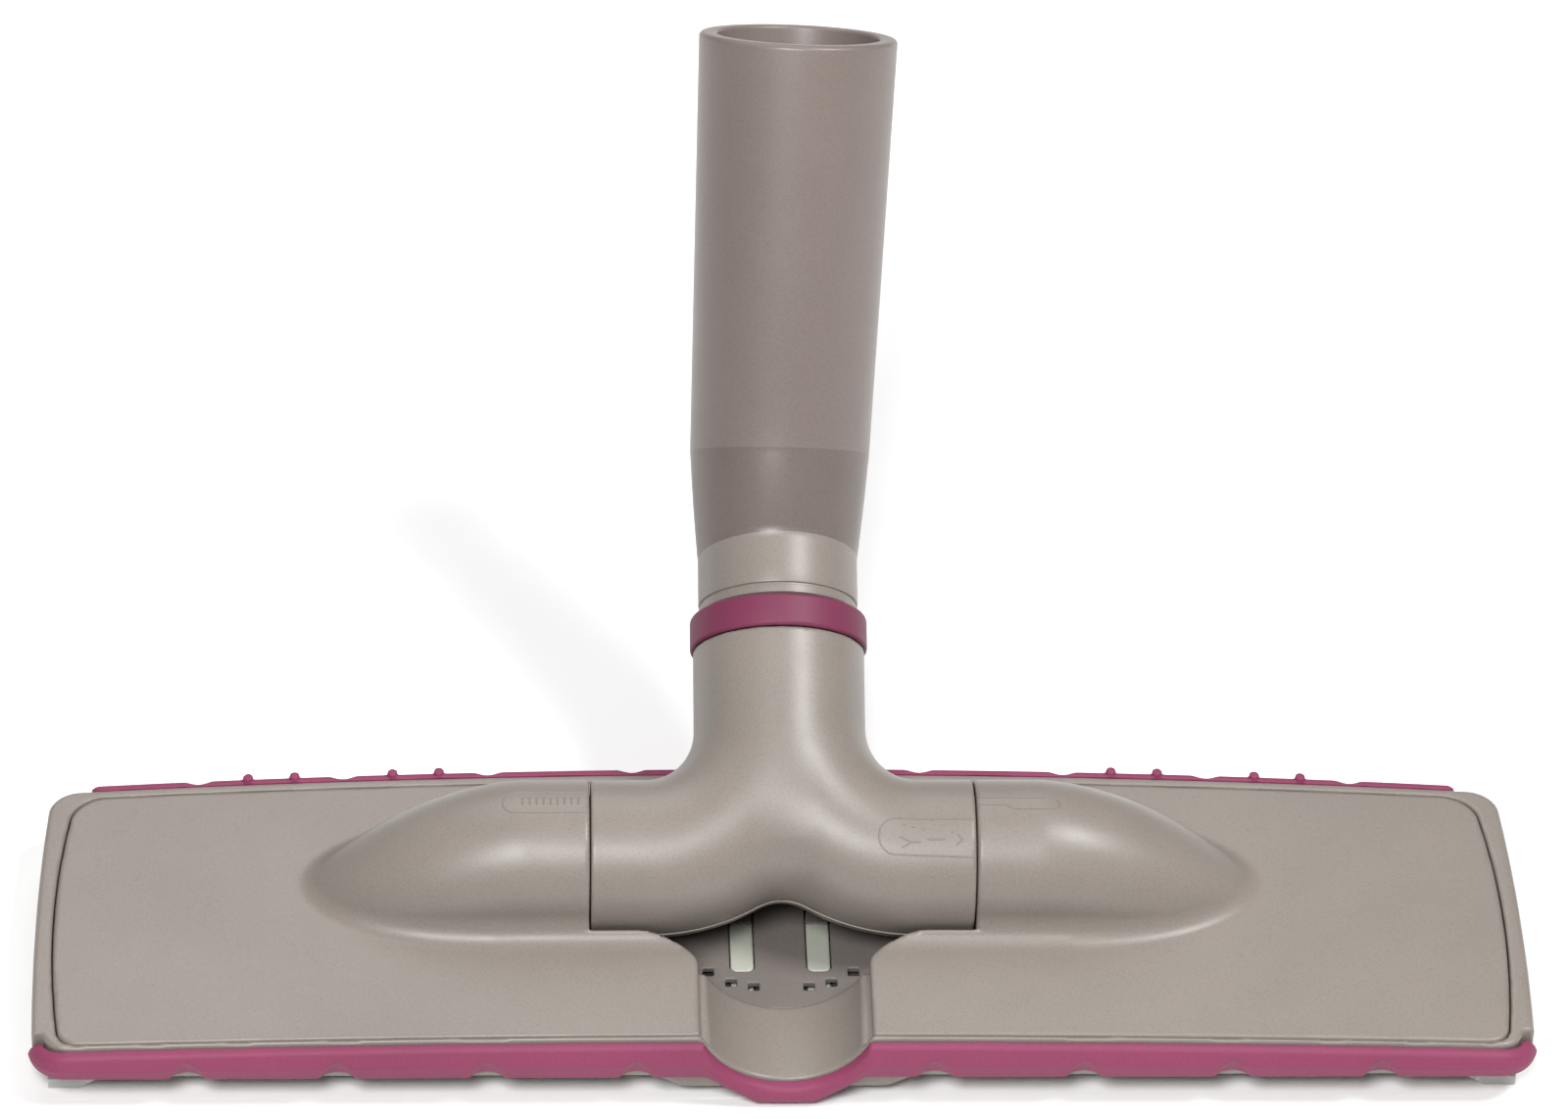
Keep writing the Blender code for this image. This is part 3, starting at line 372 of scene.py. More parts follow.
# ---------- bumpers ----------

def bumper_section(out, low, high, z, depth):
    """A strip's section: a back wall, and two slanted faces that meet in a soft crease."""
    middle = low + 0.5 * (high - low)
    upper = (out - depth) * 0.93 + (z - middle - 0.3) * 0.36
    lower = (out - depth) * 0.98 - (z - middle + 0.3) * 0.2
    shape = both(np.maximum(upper, lower), z - high, 1.0)
    shape = both(shape, low - z, 0.6)
    return np.maximum(shape, -out)


def front_bumper_field(x, y, z):
    across = np.abs(x)
    out = both(across - 142.2, FRONT_Y - GAP - y, 5)
    arc = AXIS_Z - np.sqrt(np.maximum(TROUGH_R ** 2 - across ** 2, 0)) - 0.3
    top = np.where(across < 16, arc, top_height(x, FRONT_Y) - 0.5)
    high = np.minimum(top, 15) - 2.6 * np.clip((across - 136) / 9, 0, 1) ** 2
    low = 7.2 - 6.4 * np.clip((15 - across) / 9.4, 0, 1)
    shape = bumper_section(out, low, high, z, BUMPER_DEPTH)
    shape = both(shape, y + 39.3, 0.9)
    for i in range(1, 5):
        centre_y = FRONT_Y - GAP - BUMPER_DEPTH - 1.6
        reach = 4.3 - 0.45 * (z - 7)
        groove = np.sqrt((across - i * NOTCH_PITCH) ** 2 + (y - centre_y) ** 2) - reach
        shape = without(shape, groove, 0.4)
    return shape


def rear_bumper_field(x, y, z):
    out = y - rear_y(x) - 1.5 * GAP
    high = top_height(x, REAR_Y) - 0.4
    shape = bumper_section(out, high - 7.5, high, z, 3.0)
    shape = both(shape, np.abs(x) - 136, 2.0)
    for i in range(1, 5):
        centre_y = rear_y(x) + 4.35
        groove = np.sqrt((np.abs(x) - i * NOTCH_PITCH) ** 2 + (y - centre_y) ** 2) - 3.3
        shape = without(shape, groove, 0.4)
    for place in (2.5, 3.5):
        for step in (-4.6, 4.6):
            away = np.sqrt((np.abs(x) - place * NOTCH_PITCH - step) ** 2 + (y - rear_y(x) - 1.6) ** 2)
            rib = both(away - 1.0, slab(z, high - 6.1, high + 0.85), 0.3)
            shape = either(shape, rib, 0.5)
    return shape


# ---------- yoke ----------

def duct(across, along, out):
    """One duct: straight along the arm, bent through a quarter turn, then straight up the neck."""
    bend = np.abs(np.sqrt((across - BEND) ** 2 + (along - BEND) ** 2) - BEND)
    arm = np.where(across > BEND, np.abs(along), 1e3)
    stem = np.where(along > BEND, np.abs(across) + 0 * along, 1e3)
    in_plane = np.where((across > BEND) | (along > BEND), np.minimum(arm, stem), bend)
    turn = np.arctan2(np.maximum(BEND - across, 1e-6), np.maximum(BEND - along, 1e-6)) / (math.pi / 2)
    turn = turn * turn * (3 - 2 * turn)
    turn = np.where(across > BEND, 0.0, np.where(along > BEND, 1.0, turn))
    return np.sqrt(in_plane ** 2 + out ** 2) - (ARM_R + (NECK_R - ARM_R) * turn)


def yoke_field(x, y, z):
    """Two bent ducts that merge into the neck, with a valley between them above the crotch."""
    along, out = neck_axes(y, z)
    across = np.abs(x)
    right, left = duct(x, along, out), duct(-x, along, out)
    blend = 5.5 * np.clip((25 - along) / 25, 0, 1) ** 1.4 + 0.05
    shape = either(right, left, blend)
    shape = both(shape, np.maximum(across - ARM_HALF, along - NECK_END), 0.35)
    spigot = np.maximum(np.sqrt(along ** 2 + out ** 2) - SPIGOT_R, slab(across, 30, SPIGOT_END))
    shape = np.minimum(shape, spigot)
    core = np.maximum(np.sqrt(along ** 2 + out ** 2) - ARM_BORE_R, slab(across, 14, 60))
    bore = np.maximum(np.sqrt(x ** 2 + out ** 2) - NECK_BORE_R, 14 - along)
    return np.maximum(shape, -np.minimum(core, bore))


def shell_field(sign):
    def field(x, y, z):
        out = neck_axes(y, z)[1]
        return both(yoke_field(x, y, z), sign * out + 0.07, 0.22)
    return field


# ---------- turned and lofted pieces ----------

def rings_object(name, rings, closed=False):
    """Skin over rings of equal counts; the first and last rings join when closed."""
    count = len(rings[0])
    points = np.array([tuple(p) for ring in rings for p in ring])
    quads = []
    pairs = len(rings) if closed else len(rings) - 1
    for i in range(pairs):
        a, b = i * count, ((i + 1) % len(rings)) * count
        for k in range(count):
            n = (k + 1) % count
            quads.append((a + k, a + n, b + n, b + k))
    return mesh_object(name, points, np.array(quads))


RING_COUNT = 144


def ring_points(centre, radius, tilt, matrix, count=RING_COUNT):
    points = []
    for k in range(count):
        a = 2 * math.pi * k / count
        x, v = radius * math.cos(a), radius * math.sin(a)
        points.append(matrix @ (centre + Vector((x, v * math.cos(tilt), v * math.sin(tilt)))))
    return points


def turned(name, profile, matrix, count=RING_COUNT):
    """A closed profile of radius and height, turned about the frame's Z axis."""
    rings = [ring_points(Vector((0, 0, z)), r, 0.0, matrix, count) for r, z in profile]
    return rings_object(name, rings, closed=True)


def rounded(profile, radius=0.3, steps=4):
    """A closed profile with every corner rounded off."""
    out = []
    for i, here in enumerate(profile):
        p = Vector(here)
        before = (Vector(profile[i - 1]) - p)
        after = (Vector(profile[(i + 1) % len(profile)]) - p)
        size = min(radius, 0.45 * before.length, 0.45 * after.length)
        start, end = p + before.normalized() * size, p + after.normalized() * size
        for k in range(steps + 1):
            t = k / steps
            out.append(tuple(start * (1 - t) ** 2 + p * (2 * t * (1 - t)) + end * t ** 2))
    return out


CONE_START, CONE_LENGTH, CONE_TILT = 61.5, 21.6, math.radians(17)
TUBE_LENGTH, TUBE_TILT = 83.0, math.radians(30)
TUBE_NECK_R, TUBE_LOW_R, MOUTH_R, MOUTH_BORE_R = 15.75, 17.75, 19.5, 16.0


def bend_point(along, tilt, start):
    return start + Vector((0, -math.sin(tilt), math.cos(tilt))) * along


CONE_END = bend_point(CONE_LENGTH, CONE_TILT, Vector((0, 0, CONE_START)))


def tube_axis(distance):
    return bend_point(distance, TUBE_TILT, CONE_END)


def make_tube():
    rings = []

    def straight(height, radius):
        rings.append(ring_points(Vector((0, 0, height)), radius, 0.0, TUBE_FRAME))

    for height, radius in ((28.0, 11.6), (28.0, 14.0), (28.2, 14.2), (30.6, 14.2), (30.7, 12.9),
                           (33.3, 12.9), (33.4, 14.2), (49.6, 14.3), (49.7, 15.4), (49.9, 15.6),
                           (50.3, 15.62), (51.25, 15.62), (51.4, 15.35), (51.8, 15.35), (51.95, 15.68),
                           (52.3, TUBE_NECK_R), (55, TUBE_NECK_R), (59, TUBE_NECK_R), (61.0, TUBE_NECK_R)):
        straight(height, radius)
    cone_first = len(rings)
    cone_last = cone_first + 12
    for k in range(13):
        t = k / 12
        tilt = math.radians(-3) + (math.radians(17) - math.radians(-3)) * t
        centre = Vector((0, 0, CONE_START)).lerp(CONE_END, t)
        radius = TUBE_NECK_R + (TUBE_LOW_R - TUBE_NECK_R) * t + 0.12 * math.sin(math.pi * t)
        rings.append(ring_points(centre, radius, tilt, TUBE_FRAME))
    for k in range(1, 16):
        t = k / 15
        distance = 3 + (TUBE_LENGTH - 1.0 - 3) * t
        tilt = math.radians(17) + (TUBE_TILT - math.radians(17)) * min(1.0, t * 1.6)
        radius = TUBE_LOW_R + (MOUTH_R - TUBE_LOW_R) * (distance / TUBE_LENGTH)
        rings.append(ring_points(tube_axis(distance), radius, tilt, TUBE_FRAME))
    rim_r = 0.95
    for k in range(1, 7):
        a = math.pi / 2 * k / 6
        centre = tube_axis(TUBE_LENGTH - rim_r + rim_r * math.sin(a))
        rings.append(ring_points(centre, MOUTH_R - rim_r + rim_r * math.cos(a), TUBE_TILT, TUBE_FRAME))
    for k in range(0, 5):
        a = math.pi / 2 * k / 4
        centre = tube_axis(TUBE_LENGTH - 0.6 + 0.6 * math.cos(a))
        rings.append(ring_points(centre, MOUTH_BORE_R + 0.6 - 0.6 * math.sin(a), TUBE_TILT, TUBE_FRAME))
    for depth, radius in ((12, 15.95), (30, 15.88), (45.6, 15.8), (46, 15.5), (46, 14.9), (60, 14.8),
                          (80, 14.7)):
        rings.append(ring_points(tube_axis(TUBE_LENGTH - depth), radius, TUBE_TILT, TUBE_FRAME))
    for height, radius, tilt in ((70, 13.9, 10), (60, 13.6, 0), (45, 11.6, 0)):
        centre = Vector((0, -max(0.0, height - 61.5) * 0.3, height))
        rings.append(ring_points(centre, radius, math.radians(tilt), TUBE_FRAME))
    obj = rings_object("elbow_tube", rings, closed=True)
    obj.data.set_sharp_from_angle(angle=math.radians(40))
    return obj, range(cone_first * RING_COUNT, cone_last * RING_COUNT)


def surface_point(x, lean, field):
    """A point on a field near the arms' cylinder, this far forward of its top in degrees."""
    a = math.radians(lean)
    start = np.array([[x, -ARM_R * math.sin(a), AXIS_Z + ARM_R * math.cos(a)]])
    return settle(start, field, 6)[0]


def relief(name, lines, field, body, width=0.16):
    """Fine raised lines on a moulded surface; each line is a list of (x, lean forward in degrees)."""
    curve = bpy.data.curves.new(name, "CURVE")
    curve.dimensions = "3D"
    curve.bevel_depth = width * M
    curve.bevel_resolution = 1
    curve.use_fill_caps = True
    for line in lines:
        points = []
        for (x0, a0), (x1, a1) in zip(line[:-1], line[1:]):
            steps = max(2, int(math.hypot(x1 - x0, (a1 - a0) * 0.27) / 0.5))
            points += [(x0 + (x1 - x0) * k / steps, a0 + (a1 - a0) * k / steps) for k in range(steps)]
        points.append(line[-1])
        spline = curve.splines.new("POLY")
        spline.points.add(len(points) - 1)
        for point, (x, lean) in zip(spline.points, points):
            point.co = (*(surface_point(x, lean, field) * M), 1.0)
    obj = bpy.data.objects.new(name, curve)
    bpy.context.scene.collection.objects.link(obj)
    obj.data.materials.append(LOOKS["satin_grey"])
    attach(obj, body)
    return obj


def half_round(x, low, high, bulge, steps=8):
    """End of a rounded frame: an arc in x and lean, from low to high."""
    middle, half = (low + high) / 2, (high - low) / 2
    return [(x + bulge * math.sin(math.pi * k / steps), middle - half * math.cos(math.pi * k / steps))
            for k in range(steps + 1)]


def make_pictograms():
    """Moulded symbols beside the arm joints: a bristle comb, a step and a setting arrow."""
    frame_line = [(-38.0, -10)] + half_round(-51.8, -10, 11, -2.6) + [(-38.0, 11)]
    teeth = [[(-50.4 + 1.35 * k, 3.5), (-50.4 + 1.35 * k, -3.5)] for k in range(9)]
    comb = [[(-51.0, -3.5), (-39.0, -3.5)]]
    relief("comb_symbol", [frame_line] + teeth + comb, cover_field, "head")
    step = [(38.0, -3), (51.5, -3)] + half_round(51.5, -3, 8, 2.2)[1:] + [(44.5, 8), (43.0, 4), (38.0, 4)]
    relief("step_symbol", [step], cover_field, "head")
    setting = [(36.6, 17)] + half_round(21.5, 17, 44, -3.2) + [(36.6, 46)]
    dots = ((23.0, 21), (24.8, 23), (26.8, 25), (32.4, 27))
    marks = [[(x, lean), (x + 0.35, lean + 1)] for x, lean in dots]
    bar = [[(27.6, 33), (31.2, 33)]]
    arrows = [[(22.4, 31), (24.6, 35), (22.8, 39)], [(33.6, 29), (34.6, 33), (33.4, 37)],
              [(24.6, 35), (26.4, 35)]]
    relief("setting_symbol", [setting] + marks + bar + arrows, yoke_field, "yoke")


def bristle_strip(name, node, seed):
    """A row of tufts, each a bundle of thin tapered hairs that spread a little at the floor."""
    low, high = node_box(node)
    draw = random.Random(seed)
    centre_y, root_z, tip_z = (low[1] + high[1]) / 2, high[2] + 1.2, low[2]
    points, quads = [], []
    count = int((high[0] - low[0] - 1.6) / 1.7)
    for i in range(count + 1):
        base_x = low[0] + 0.8 + (high[0] - low[0] - 1.6) * i / count
        for row in (-0.42, 0.42):
            for _ in range(9):
                root = Vector((base_x + draw.uniform(-0.3, 0.3),
                               centre_y + row + draw.uniform(-0.2, 0.2), root_z))
                tip = Vector((root.x + draw.uniform(-0.45, 0.45), root.y + draw.uniform(-0.35, 0.35),
                              tip_z + draw.uniform(0, 0.35)))
                start = len(points)
                turn = draw.uniform(0, 2)
                for end, radius in ((root, 0.11), (tip, 0.05)):
                    for k in range(4):
                        a = turn + k * math.pi / 2
                        points.append(end + Vector((math.cos(a), math.sin(a), 0)) * radius)
                for k in range(4):
                    n = (k + 1) % 4
                    quads.append((start + n, start + k, start + 4 + k, start + 4 + n))
                quads.append((start, start + 1, start + 2, start + 3))
                quads.append((start + 7, start + 6, start + 5, start + 4))
    points = np.clip(np.array([tuple(p) for p in points]), low, high + np.array([0, 0, 1.2]))
    return mesh_object(name, points, np.array(quads))


def felt_field(low, high):
    def field(x, y, z):
        shape = both(slab(x, low[0] + 0.15, high[0] - 0.15), slab(y, low[1] + 0.15, high[1] - 0.15), 0.8)
        ripple = 0.05 * np.sin(2.1 * x + 1.3 * y) * np.sin(2.9 * y - 0.7 * x)
        return both(shape, slab(z, low[2] + 0.1, high[2]) + ripple, 0.3)
    return field


# ---------- materials ----------

def new_material(name):
    made = bpy.data.materials.new(name)
    made.use_nodes = True
    tree = made.node_tree
    return made, tree, tree.nodes["Principled BSDF"]


def noise(tree, scale, detail=4.0, stretch=None):
    """A noise texture on object coordinates, in features per metre."""
    coordinates = tree.nodes.new("ShaderNodeTexCoord")
    texture = tree.nodes.new("ShaderNodeTexNoise")
    texture.inputs["Scale"].default_value = scale
    texture.inputs["Detail"].default_value = detail
    source = coordinates.outputs["Object"]
    if stretch:
        mapping = tree.nodes.new("ShaderNodeMapping")
        mapping.inputs["Scale"].default_value = stretch
        tree.links.new(source, mapping.inputs["Vector"])
        source = mapping.outputs["Vector"]
    tree.links.new(source, texture.inputs["Vector"])
    return texture.outputs["Fac"]


def ramp(tree, source, stops):
    node = tree.nodes.new("ShaderNodeValToRGB")
    elements = node.color_ramp.elements
    while len(elements) < len(stops):
        elements.new(0.5)
    for element, (position, colour) in zip(elements, stops):
        element.position = position
        element.color = (*colour, 1.0) if len(colour) == 3 else (colour[0],) * 3 + (1.0,)
    tree.links.new(source, node.inputs["Fac"])
    return node.outputs["Color"]


def span(tree, source, low, high):
    node = tree.nodes.new("ShaderNodeMapRange")
    node.inputs["To Min"].default_value = low
    node.inputs["To Max"].default_value = high
    tree.links.new(source, node.inputs["Value"])
    return node.outputs["Result"]


def bump(tree, shader, layers):
    """Stack bump layers of (height source, distance in metres, strength)."""
    previous = None
    for source, distance, strength in layers:
        node = tree.nodes.new("ShaderNodeBump")
        node.inputs["Distance"].default_value = distance
        node.inputs["Strength"].default_value = strength
        tree.links.new(source, node.inputs["Height"])
        if previous:
            tree.links.new(previous, node.inputs["Normal"])
        previous = node.outputs["Normal"]
    tree.links.new(previous, shader.inputs["Normal"])


def moulded(name, colour, roughness, mottle=0.06, speck=0.35, grain=2600.0, coat=0.0, gloss=0.45):
    """Moulded plastic: slight flow mottle, fine dark and light specks, and a spark-eroded grain."""
    made, tree, shader = new_material(name)
    dark = tuple(c * (1 - mottle) for c in colour)
    light = tuple(min(1.0, c * (1 + mottle)) for c in colour)
    flow = ramp(tree, noise(tree, 38.0, 3.0), ((0.3, dark), (0.7, light)))
    fine = ramp(tree, noise(tree, 3100.0, 2.0), ((0.36, tuple(c * (1 - speck) for c in colour)),
                                                 (0.5, colour), (0.66, light)))
    mix = tree.nodes.new("ShaderNodeMix")
    mix.data_type = "RGBA"
    mix.inputs["Factor"].default_value = 0.35
    tree.links.new(flow, mix.inputs["A"])
    tree.links.new(fine, mix.inputs["B"])
    tree.links.new(mix.outputs["Result"], shader.inputs["Base Color"])
    rough = span(tree, noise(tree, 160.0, 5.0), roughness - 0.05, roughness + 0.06)
    tree.links.new(rough, shader.inputs["Roughness"])
    shader.inputs["Coat Weight"].default_value = coat
    shader.inputs["Coat Roughness"].default_value = 0.35
    shader.inputs["Specular IOR Level"].default_value = gloss
    bump(tree, shader, ((noise(tree, grain, 2.0), 0.00003, 0.5), (noise(tree, 210.0, 2.0), 0.00008, 0.12)))
    return made


def brushed_steel(name):
    made, tree, shader = new_material(name)
    streak = noise(tree, 900.0, 3.0, (1.0, 12.0, 1.0))
    tree.links.new(ramp(tree, streak, ((0.3, (0.38, 0.38, 0.37)), (0.7, (0.62, 0.62, 0.6)))),
                   shader.inputs["Base Color"])
    shader.inputs["Metallic"].default_value = 1.0
    tree.links.new(span(tree, noise(tree, 350.0, 3.0), 0.22, 0.4), shader.inputs["Roughness"])
    bump(tree, shader, ((streak, 0.00002, 0.4),))
    return made


def fibrous(name, dark, light, scale, stretch, depth):
    made, tree, shader = new_material(name)
    strands = noise(tree, scale, 6.0, stretch)
    tree.links.new(ramp(tree, strands, ((0.35, dark), (0.65, light))), shader.inputs["Base Color"])
    shader.inputs["Roughness"].default_value = 0.9
    shader.inputs["Sheen Weight"].default_value = 0.3
    bump(tree, shader, ((strands, depth, 0.8),))
    return made


def milky(name):
    """Translucent natural polyamide of the glide feet."""
    made, tree, shader = new_material(name)
    cloud = noise(tree, 120.0, 3.0)
    tree.links.new(ramp(tree, cloud, ((0.3, (0.62, 0.58, 0.55)), (0.7, (0.8, 0.77, 0.73)))),
                   shader.inputs["Base Color"])
    tree.links.new(span(tree, noise(tree, 500.0, 2.0), 0.18, 0.32), shader.inputs["Roughness"])
    shader.inputs["Transmission Weight"].default_value = 0.35
    shader.inputs["Subsurface Weight"].default_value = 0.2
    bump(tree, shader, ((noise(tree, 800.0, 2.0), 0.00002, 0.3),))
    return made


GREY = (0.216, 0.189, 0.167)
TUBE_GREY = (0.172, 0.141, 0.127)
MAGENTA = (0.22, 0.041, 0.094)

LOOKS = {
    "satin_grey": moulded("warm_grey_plastic", GREY, 0.4, coat=0.12),
    "tube_grey": moulded("tube_grey_plastic", TUBE_GREY, 0.38, coat=0.12),
    # painted shade: the cone's grey is the tube grey darkened, standing for the cone facing further down
    "cone_painted_shade_grey": moulded("cone_painted_shade_plastic", tuple(0.83 * c for c in TUBE_GREY), 0.34),
    # painted shade: a darker grey for the bay floor and tongue caps, standing for the shadow in the recess
    # under the yoke
    "bay_painted_shade_grey": moulded("bay_painted_shade_plastic", (0.17, 0.148, 0.135), 0.5),
    "magenta_soft": moulded("magenta_soft_plastic", MAGENTA, 0.55, 0.08, 0.25, 1900.0, gloss=0.25),
    # painted shade: the bumper magenta darkened for the collar band, to hold back the top light the band
    # catches
    "collar_painted_shade_magenta": moulded("collar_painted_shade_magenta_plastic", tuple(0.72 * c for c in MAGENTA), 0.5, 0.06, 0.2,
                              gloss=0.25),
    # painted highlight: the body grey lightened for the seam bead, standing for the light its edge catches
    "seam_painted_highlight_grey": moulded("seam_bead_painted_highlight", tuple(min(1.0, 1.5 * c) for c in GREY), 0.45),
    "white_acetal": moulded("pale_acetal", (0.42, 0.43, 0.37), 0.35, 0.04, 0.1),
    "black_rubber": moulded("seal_rubber", (0.025, 0.025, 0.027), 0.65, 0.15, 0.3),
    "dark_sole": moulded("dark_sole_plastic", (0.06, 0.055, 0.053), 0.35, 0.12, 0.3),
    "steel": brushed_steel("bright_steel"),
    "bristle": fibrous("bristle_hair", (0.03, 0.028, 0.028), (0.16, 0.15, 0.145), 900.0,
                       (4, 4, 0.6), 0.0001),
    "felt": fibrous("lint_felt", (0.22, 0.012, 0.03), (0.42, 0.05, 0.08), 2200.0, (1, 1, 1), 0.0003),
    "clear_foot": milky("glide_foot_nylon"),
}


def fit(obj, body, look, slot, *nodes):
    """Give a finished piece its look, its body and the CAD nodes that it stands for."""
    obj.data.materials.clear()
    obj.data.materials.append(LOOKS[look])
    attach(obj, body)
    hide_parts(*nodes)
    return obj


# ---------- pieces ----------

def make_head():
    low, high = node_box("top_cover")
    cover = carve("cover_panel", cover_field, (low[0], low[1], 7.9), high, (0.8, 0.5, 0.5))
    fit(cover, "head", "satin_grey", "satin_grey", "top_cover")
    base = carve("base_shell", base_field, BASE_LOW, BASE_HIGH, (0.8, 0.5, 0.45))
    fit(base, "head", "satin_grey", "satin_grey", "base_housing")
    low, high = (-37, TROUGH_BACK, TRAY_LOW), (37, 15, TRAY_TOP)
    tray = carve("bay_floor", tray_field, low, high, (0.3, 0.3, 0.22))
    # the bay floor takes the darker grey, painted shade of the recess
    fit(tray, "head", "bay_painted_shade_grey", "satin_grey", "base_housing")
    low, high = node_box("brush_carrier")
    carrier = carve("brush_frame", carrier_field, low, high, (0.6, 0.35, 0.25))
    fit(carrier, "brush", "white_acetal", "white_acetal", "brush_carrier")
    caps = carve("tongue_caps", cap_field, (-9.8, 0.3, 3.6), (9.8, 4.1, 4.6), (0.2, 0.2, 0.12))
    # the caps take the same darker grey, painted shade of the recess
    fit(caps, "brush", "bay_painted_shade_grey", "satin_grey", "brush_carrier")
    low, high = node_box("front_bumper")
    front = carve("front_bumper_strip", front_bumper_field, low, high, (0.6, 0.35, 0.35))
    fit(front, "head", "magenta_soft", "magenta_soft", "front_bumper")
    low, high = node_box("rear_bumper")
    rear = carve("rear_bumper_strip", rear_bumper_field, low, high, (0.5, 0.35, 0.35))
    fit(rear, "head", "magenta_soft", "magenta_soft", "rear_bumper")


def make_yoke():
    for node, name, sign in (("yoke_front_shell", "yoke_shell_front", 1),
                             ("yoke_rear_shell", "yoke_shell_rear", -1)):
        low, high = node_box(node)
        shell = carve(name, shell_field(sign), low - 0.2, high + 0.2, (0.55, 0.55, 0.55))
        fit(shell, "yoke", "satin_grey", "satin_grey", node)
    collar = [(15.95, 42.55), (17.0, 42.45), (17.45, 42.9), (17.45, 48.5), (17.1, 49.0), (15.95, 49.0)]
    ring = turned("collar_band", rounded(collar, 0.25), NECK_FRAME)
    # the collar band takes the darkened magenta, painted shade
    fit(ring, "yoke", "collar_painted_shade_magenta", "magenta_soft", "collar_ring")
    make_seam_bead()


def make_seam_bead():
    """Fine weld bead along the shells' joint, round the crotch and under the arms."""
    curve = bpy.data.curves.new("crotch_seam", "CURVE")
    curve.dimensions = "3D"
    curve.bevel_depth = 0.2 * M
    curve.bevel_resolution = 2
    curve.use_fill_caps = True
    spline = curve.splines.new("POLY")
    across = np.linspace(-30, 30, 81)
    rise = BEND - np.sqrt((BEND + ARM_R) ** 2 - (BEND - np.abs(across)) ** 2)
    rise = np.where(np.abs(across) > BEND, -ARM_R, rise)
    start = np.array([tuple(NECK_FRAME @ Vector((a, 0.0, u))) for a, u in zip(across, rise)])
    points = settle(start, yoke_field, 5)
    spline.points.add(len(points) - 1)
    for point, place in zip(spline.points, points):
        point.co = (*(place * M), 1.0)
    obj = bpy.data.objects.new("crotch_seam", curve)
    bpy.context.scene.collection.objects.link(obj)
    # the bead takes the lighter grey, a painted highlight
    obj.data.materials.append(LOOKS["seam_painted_highlight_grey"])
    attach(obj, "yoke")


def make_elbow():
    tube, cone_faces = make_tube()
    fit(tube, "tube", "tube_grey", "satin_grey", "swivel_tube")
    # the cone's faces take the darker grey, painted shade of their downward-facing surface
    tube.data.materials.append(LOOKS["cone_painted_shade_grey"])
    tube.data.materials.append(LOOKS["satin_grey"])
    for face in cone_faces:
        tube.data.polygons[face].material_index = 1
    for face in range(cone_faces.start):
        tube.data.polygons[face].material_index = 2


def make_soft_rows():
    for i, node in enumerate(("front_left_bristles", "front_right_bristles", "rear_bristles")):
        fit(bristle_strip(node + "_tufts", node, 11 + i), "brush", "bristle", "bristle", node)
    for row in ("front", "rear"):
        for side in ("left", "right"):
            node = f"{row}_{side}_lint_strip"
            low, high = node_box(node)
            pad = carve(node + "_pad", felt_field(low, high), low, high, (0.5, 0.3, 0.15))
            fit(pad, "head", "felt", "felt", node)


def keep_cad():
    """CAD pieces that keep their own shape get a finished material."""
    kept = {"sole_plate": "dark_sole", "swivel_clip": "white_acetal",
            "swivel_seal": "black_rubber", "left_bearing_bush": "white_acetal",
            "right_bearing_bush": "white_acetal", "left_duct_seal": "black_rubber",
            "right_duct_seal": "black_rubber"}
    for name, obj in NODES.items():
        look = kept.get(name)
        if look is None and ("pin" in name or "spring" in name or "screw" in name):
            look = "steel"
        if look is None and "glide_foot" in name:
            look = "clear_foot"
        if look is None:
            continue
        for i in range(len(obj.material_slots)):
            obj.material_slots[i].material = LOOKS[look]


# ---------- studio ----------

# Name, place in metres, side in metres and power in watts of each light
LIGHTS = (
    ("key_light", (-0.3, -0.95, 1.3), 0.5, 23.0),
    ("fill_light", (0.7, -0.15, 1.35), 0.4, 17.0),
    ("rear_light", (-0.2, 1.1, 1.4), 1.2, 9.0),
)
CAMERA_PLACE = (-55.56, -1036.64, 985.72)
CAMERA_YAW, CAMERA_PITCH, CAMERA_ROLL = 2.988, 40.51, 1.968    # degrees
SENSOR = 36.0
FOCAL_RATIO = 4.629875            # focal length over the sensor's width


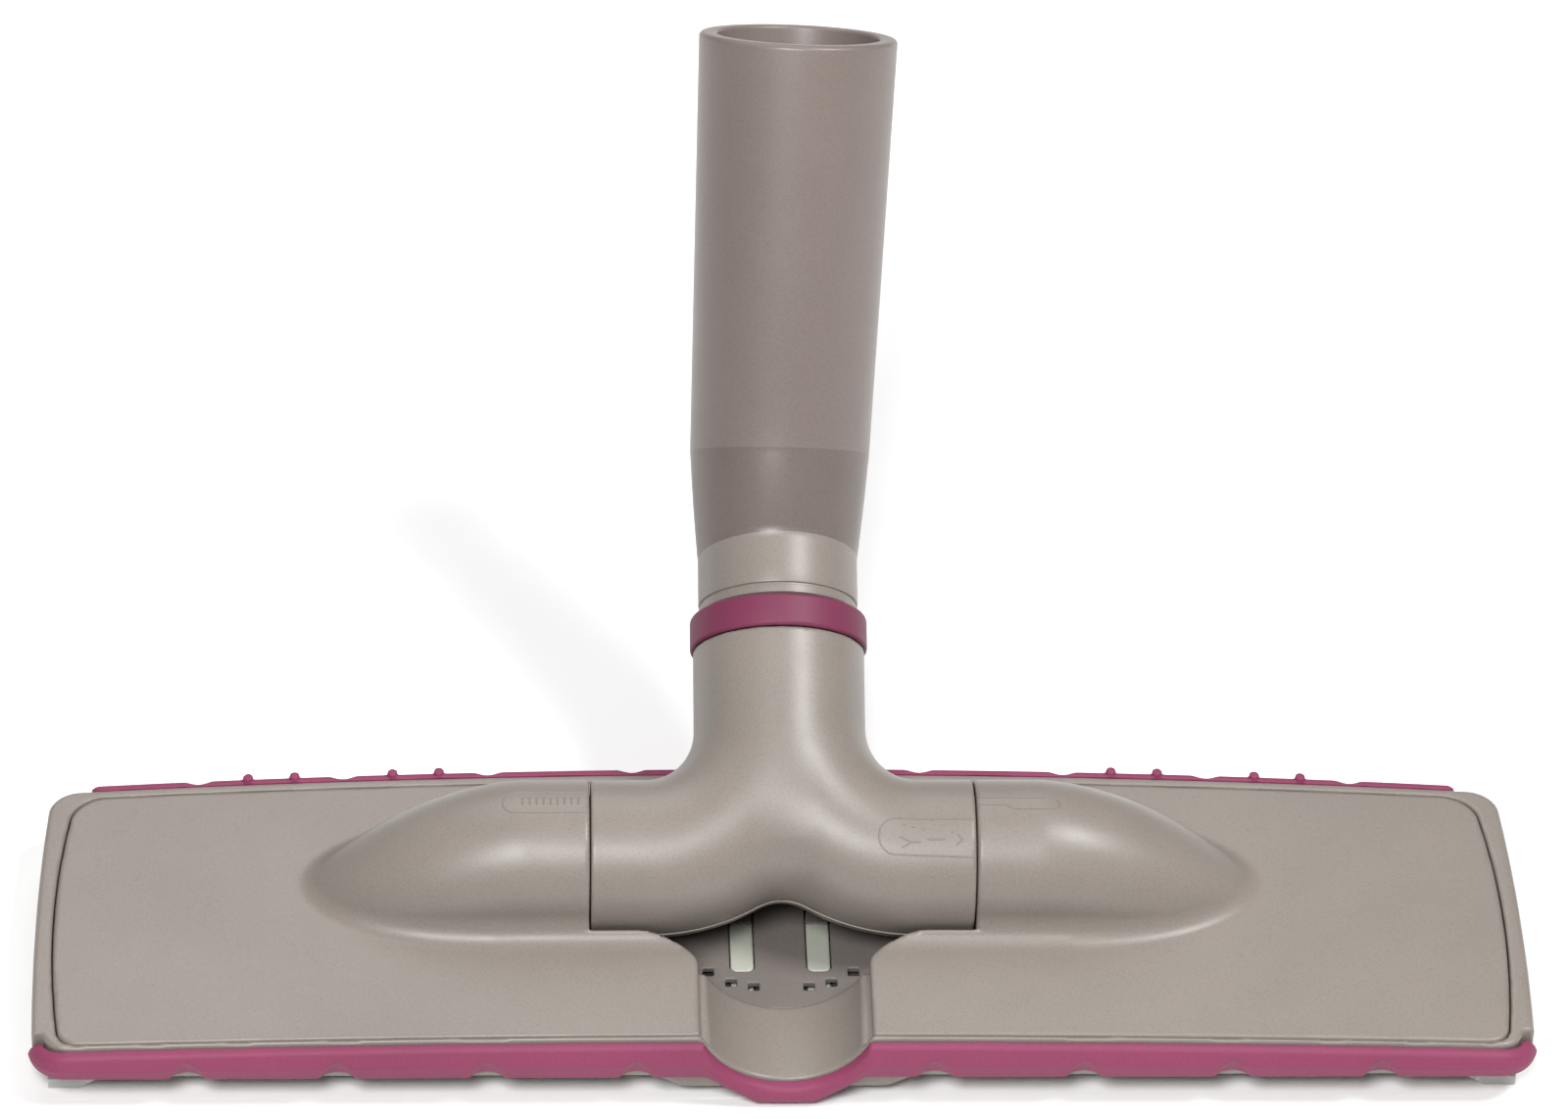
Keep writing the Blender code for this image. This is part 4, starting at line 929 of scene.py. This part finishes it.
def make_studio():
    scene = bpy.context.scene
    scene.view_settings.view_transform = "Standard"
    plane = bpy.data.meshes.new("studio_floor")
    bm = bmesh.new()
    bmesh.ops.create_grid(bm, x_segments=1, y_segments=1, size=6.0)
    bm.to_mesh(plane)
    bm.free()
    floor = bpy.data.objects.new("studio_floor", plane)
    floor.location.z = -0.0002
    made, tree, shader = new_material("studio_floor_paper")
    paper = ramp(tree, noise(tree, 30.0, 3.0), ((0.3, (0.93, 0.93, 0.93)), (0.7, (0.95, 0.95, 0.95))))
    tree.links.new(paper, shader.inputs["Base Color"])
    shader.inputs["Roughness"].default_value = 0.9
    plane.materials.append(made)
    scene.collection.objects.link(floor)
    world = bpy.data.worlds.new("studio_world")
    world.use_nodes = True
    world.node_tree.nodes["Background"].inputs["Color"].default_value = (1.0, 0.985, 0.97, 1.0)
    world.node_tree.nodes["Background"].inputs["Strength"].default_value = 0.16
    scene.world = world
    for name, place, size, power in LIGHTS:
        data = bpy.data.lights.new(name, "AREA")
        data.shape, data.size, data.energy = "SQUARE", size, power
        light = bpy.data.objects.new(name, data)
        light.location = place
        aim = Vector((0, 0, 0.04)) - Vector(place)
        light.rotation_euler = aim.to_track_quat("-Z", "Y").to_euler()
        scene.collection.objects.link(light)


def make_camera():
    """Camera at the viewing angle: from the front, above and slightly left."""
    place = Vector(CAMERA_PLACE)
    yaw, pitch, roll = (math.radians(a) for a in (CAMERA_YAW, CAMERA_PITCH, CAMERA_ROLL))
    data = bpy.data.cameras.new("camera")
    data.sensor_width = SENSOR
    data.lens = SENSOR * FOCAL_RATIO
    data.clip_start, data.clip_end = 0.05, 20.0
    camera = bpy.data.objects.new("camera", data)
    turn = Matrix.Rotation(-yaw, 4, "Z") @ Matrix.Rotation(math.pi / 2 - pitch, 4, "X")
    camera.matrix_world = Matrix.Translation(place * M) @ turn @ Matrix.Rotation(roll, 4, "Z")
    bpy.context.scene.collection.objects.link(camera)
    bpy.context.scene.camera = camera


make_head()
make_yoke()
make_elbow()
make_pictograms()
make_soft_rows()
keep_cad()
make_studio()
make_camera()
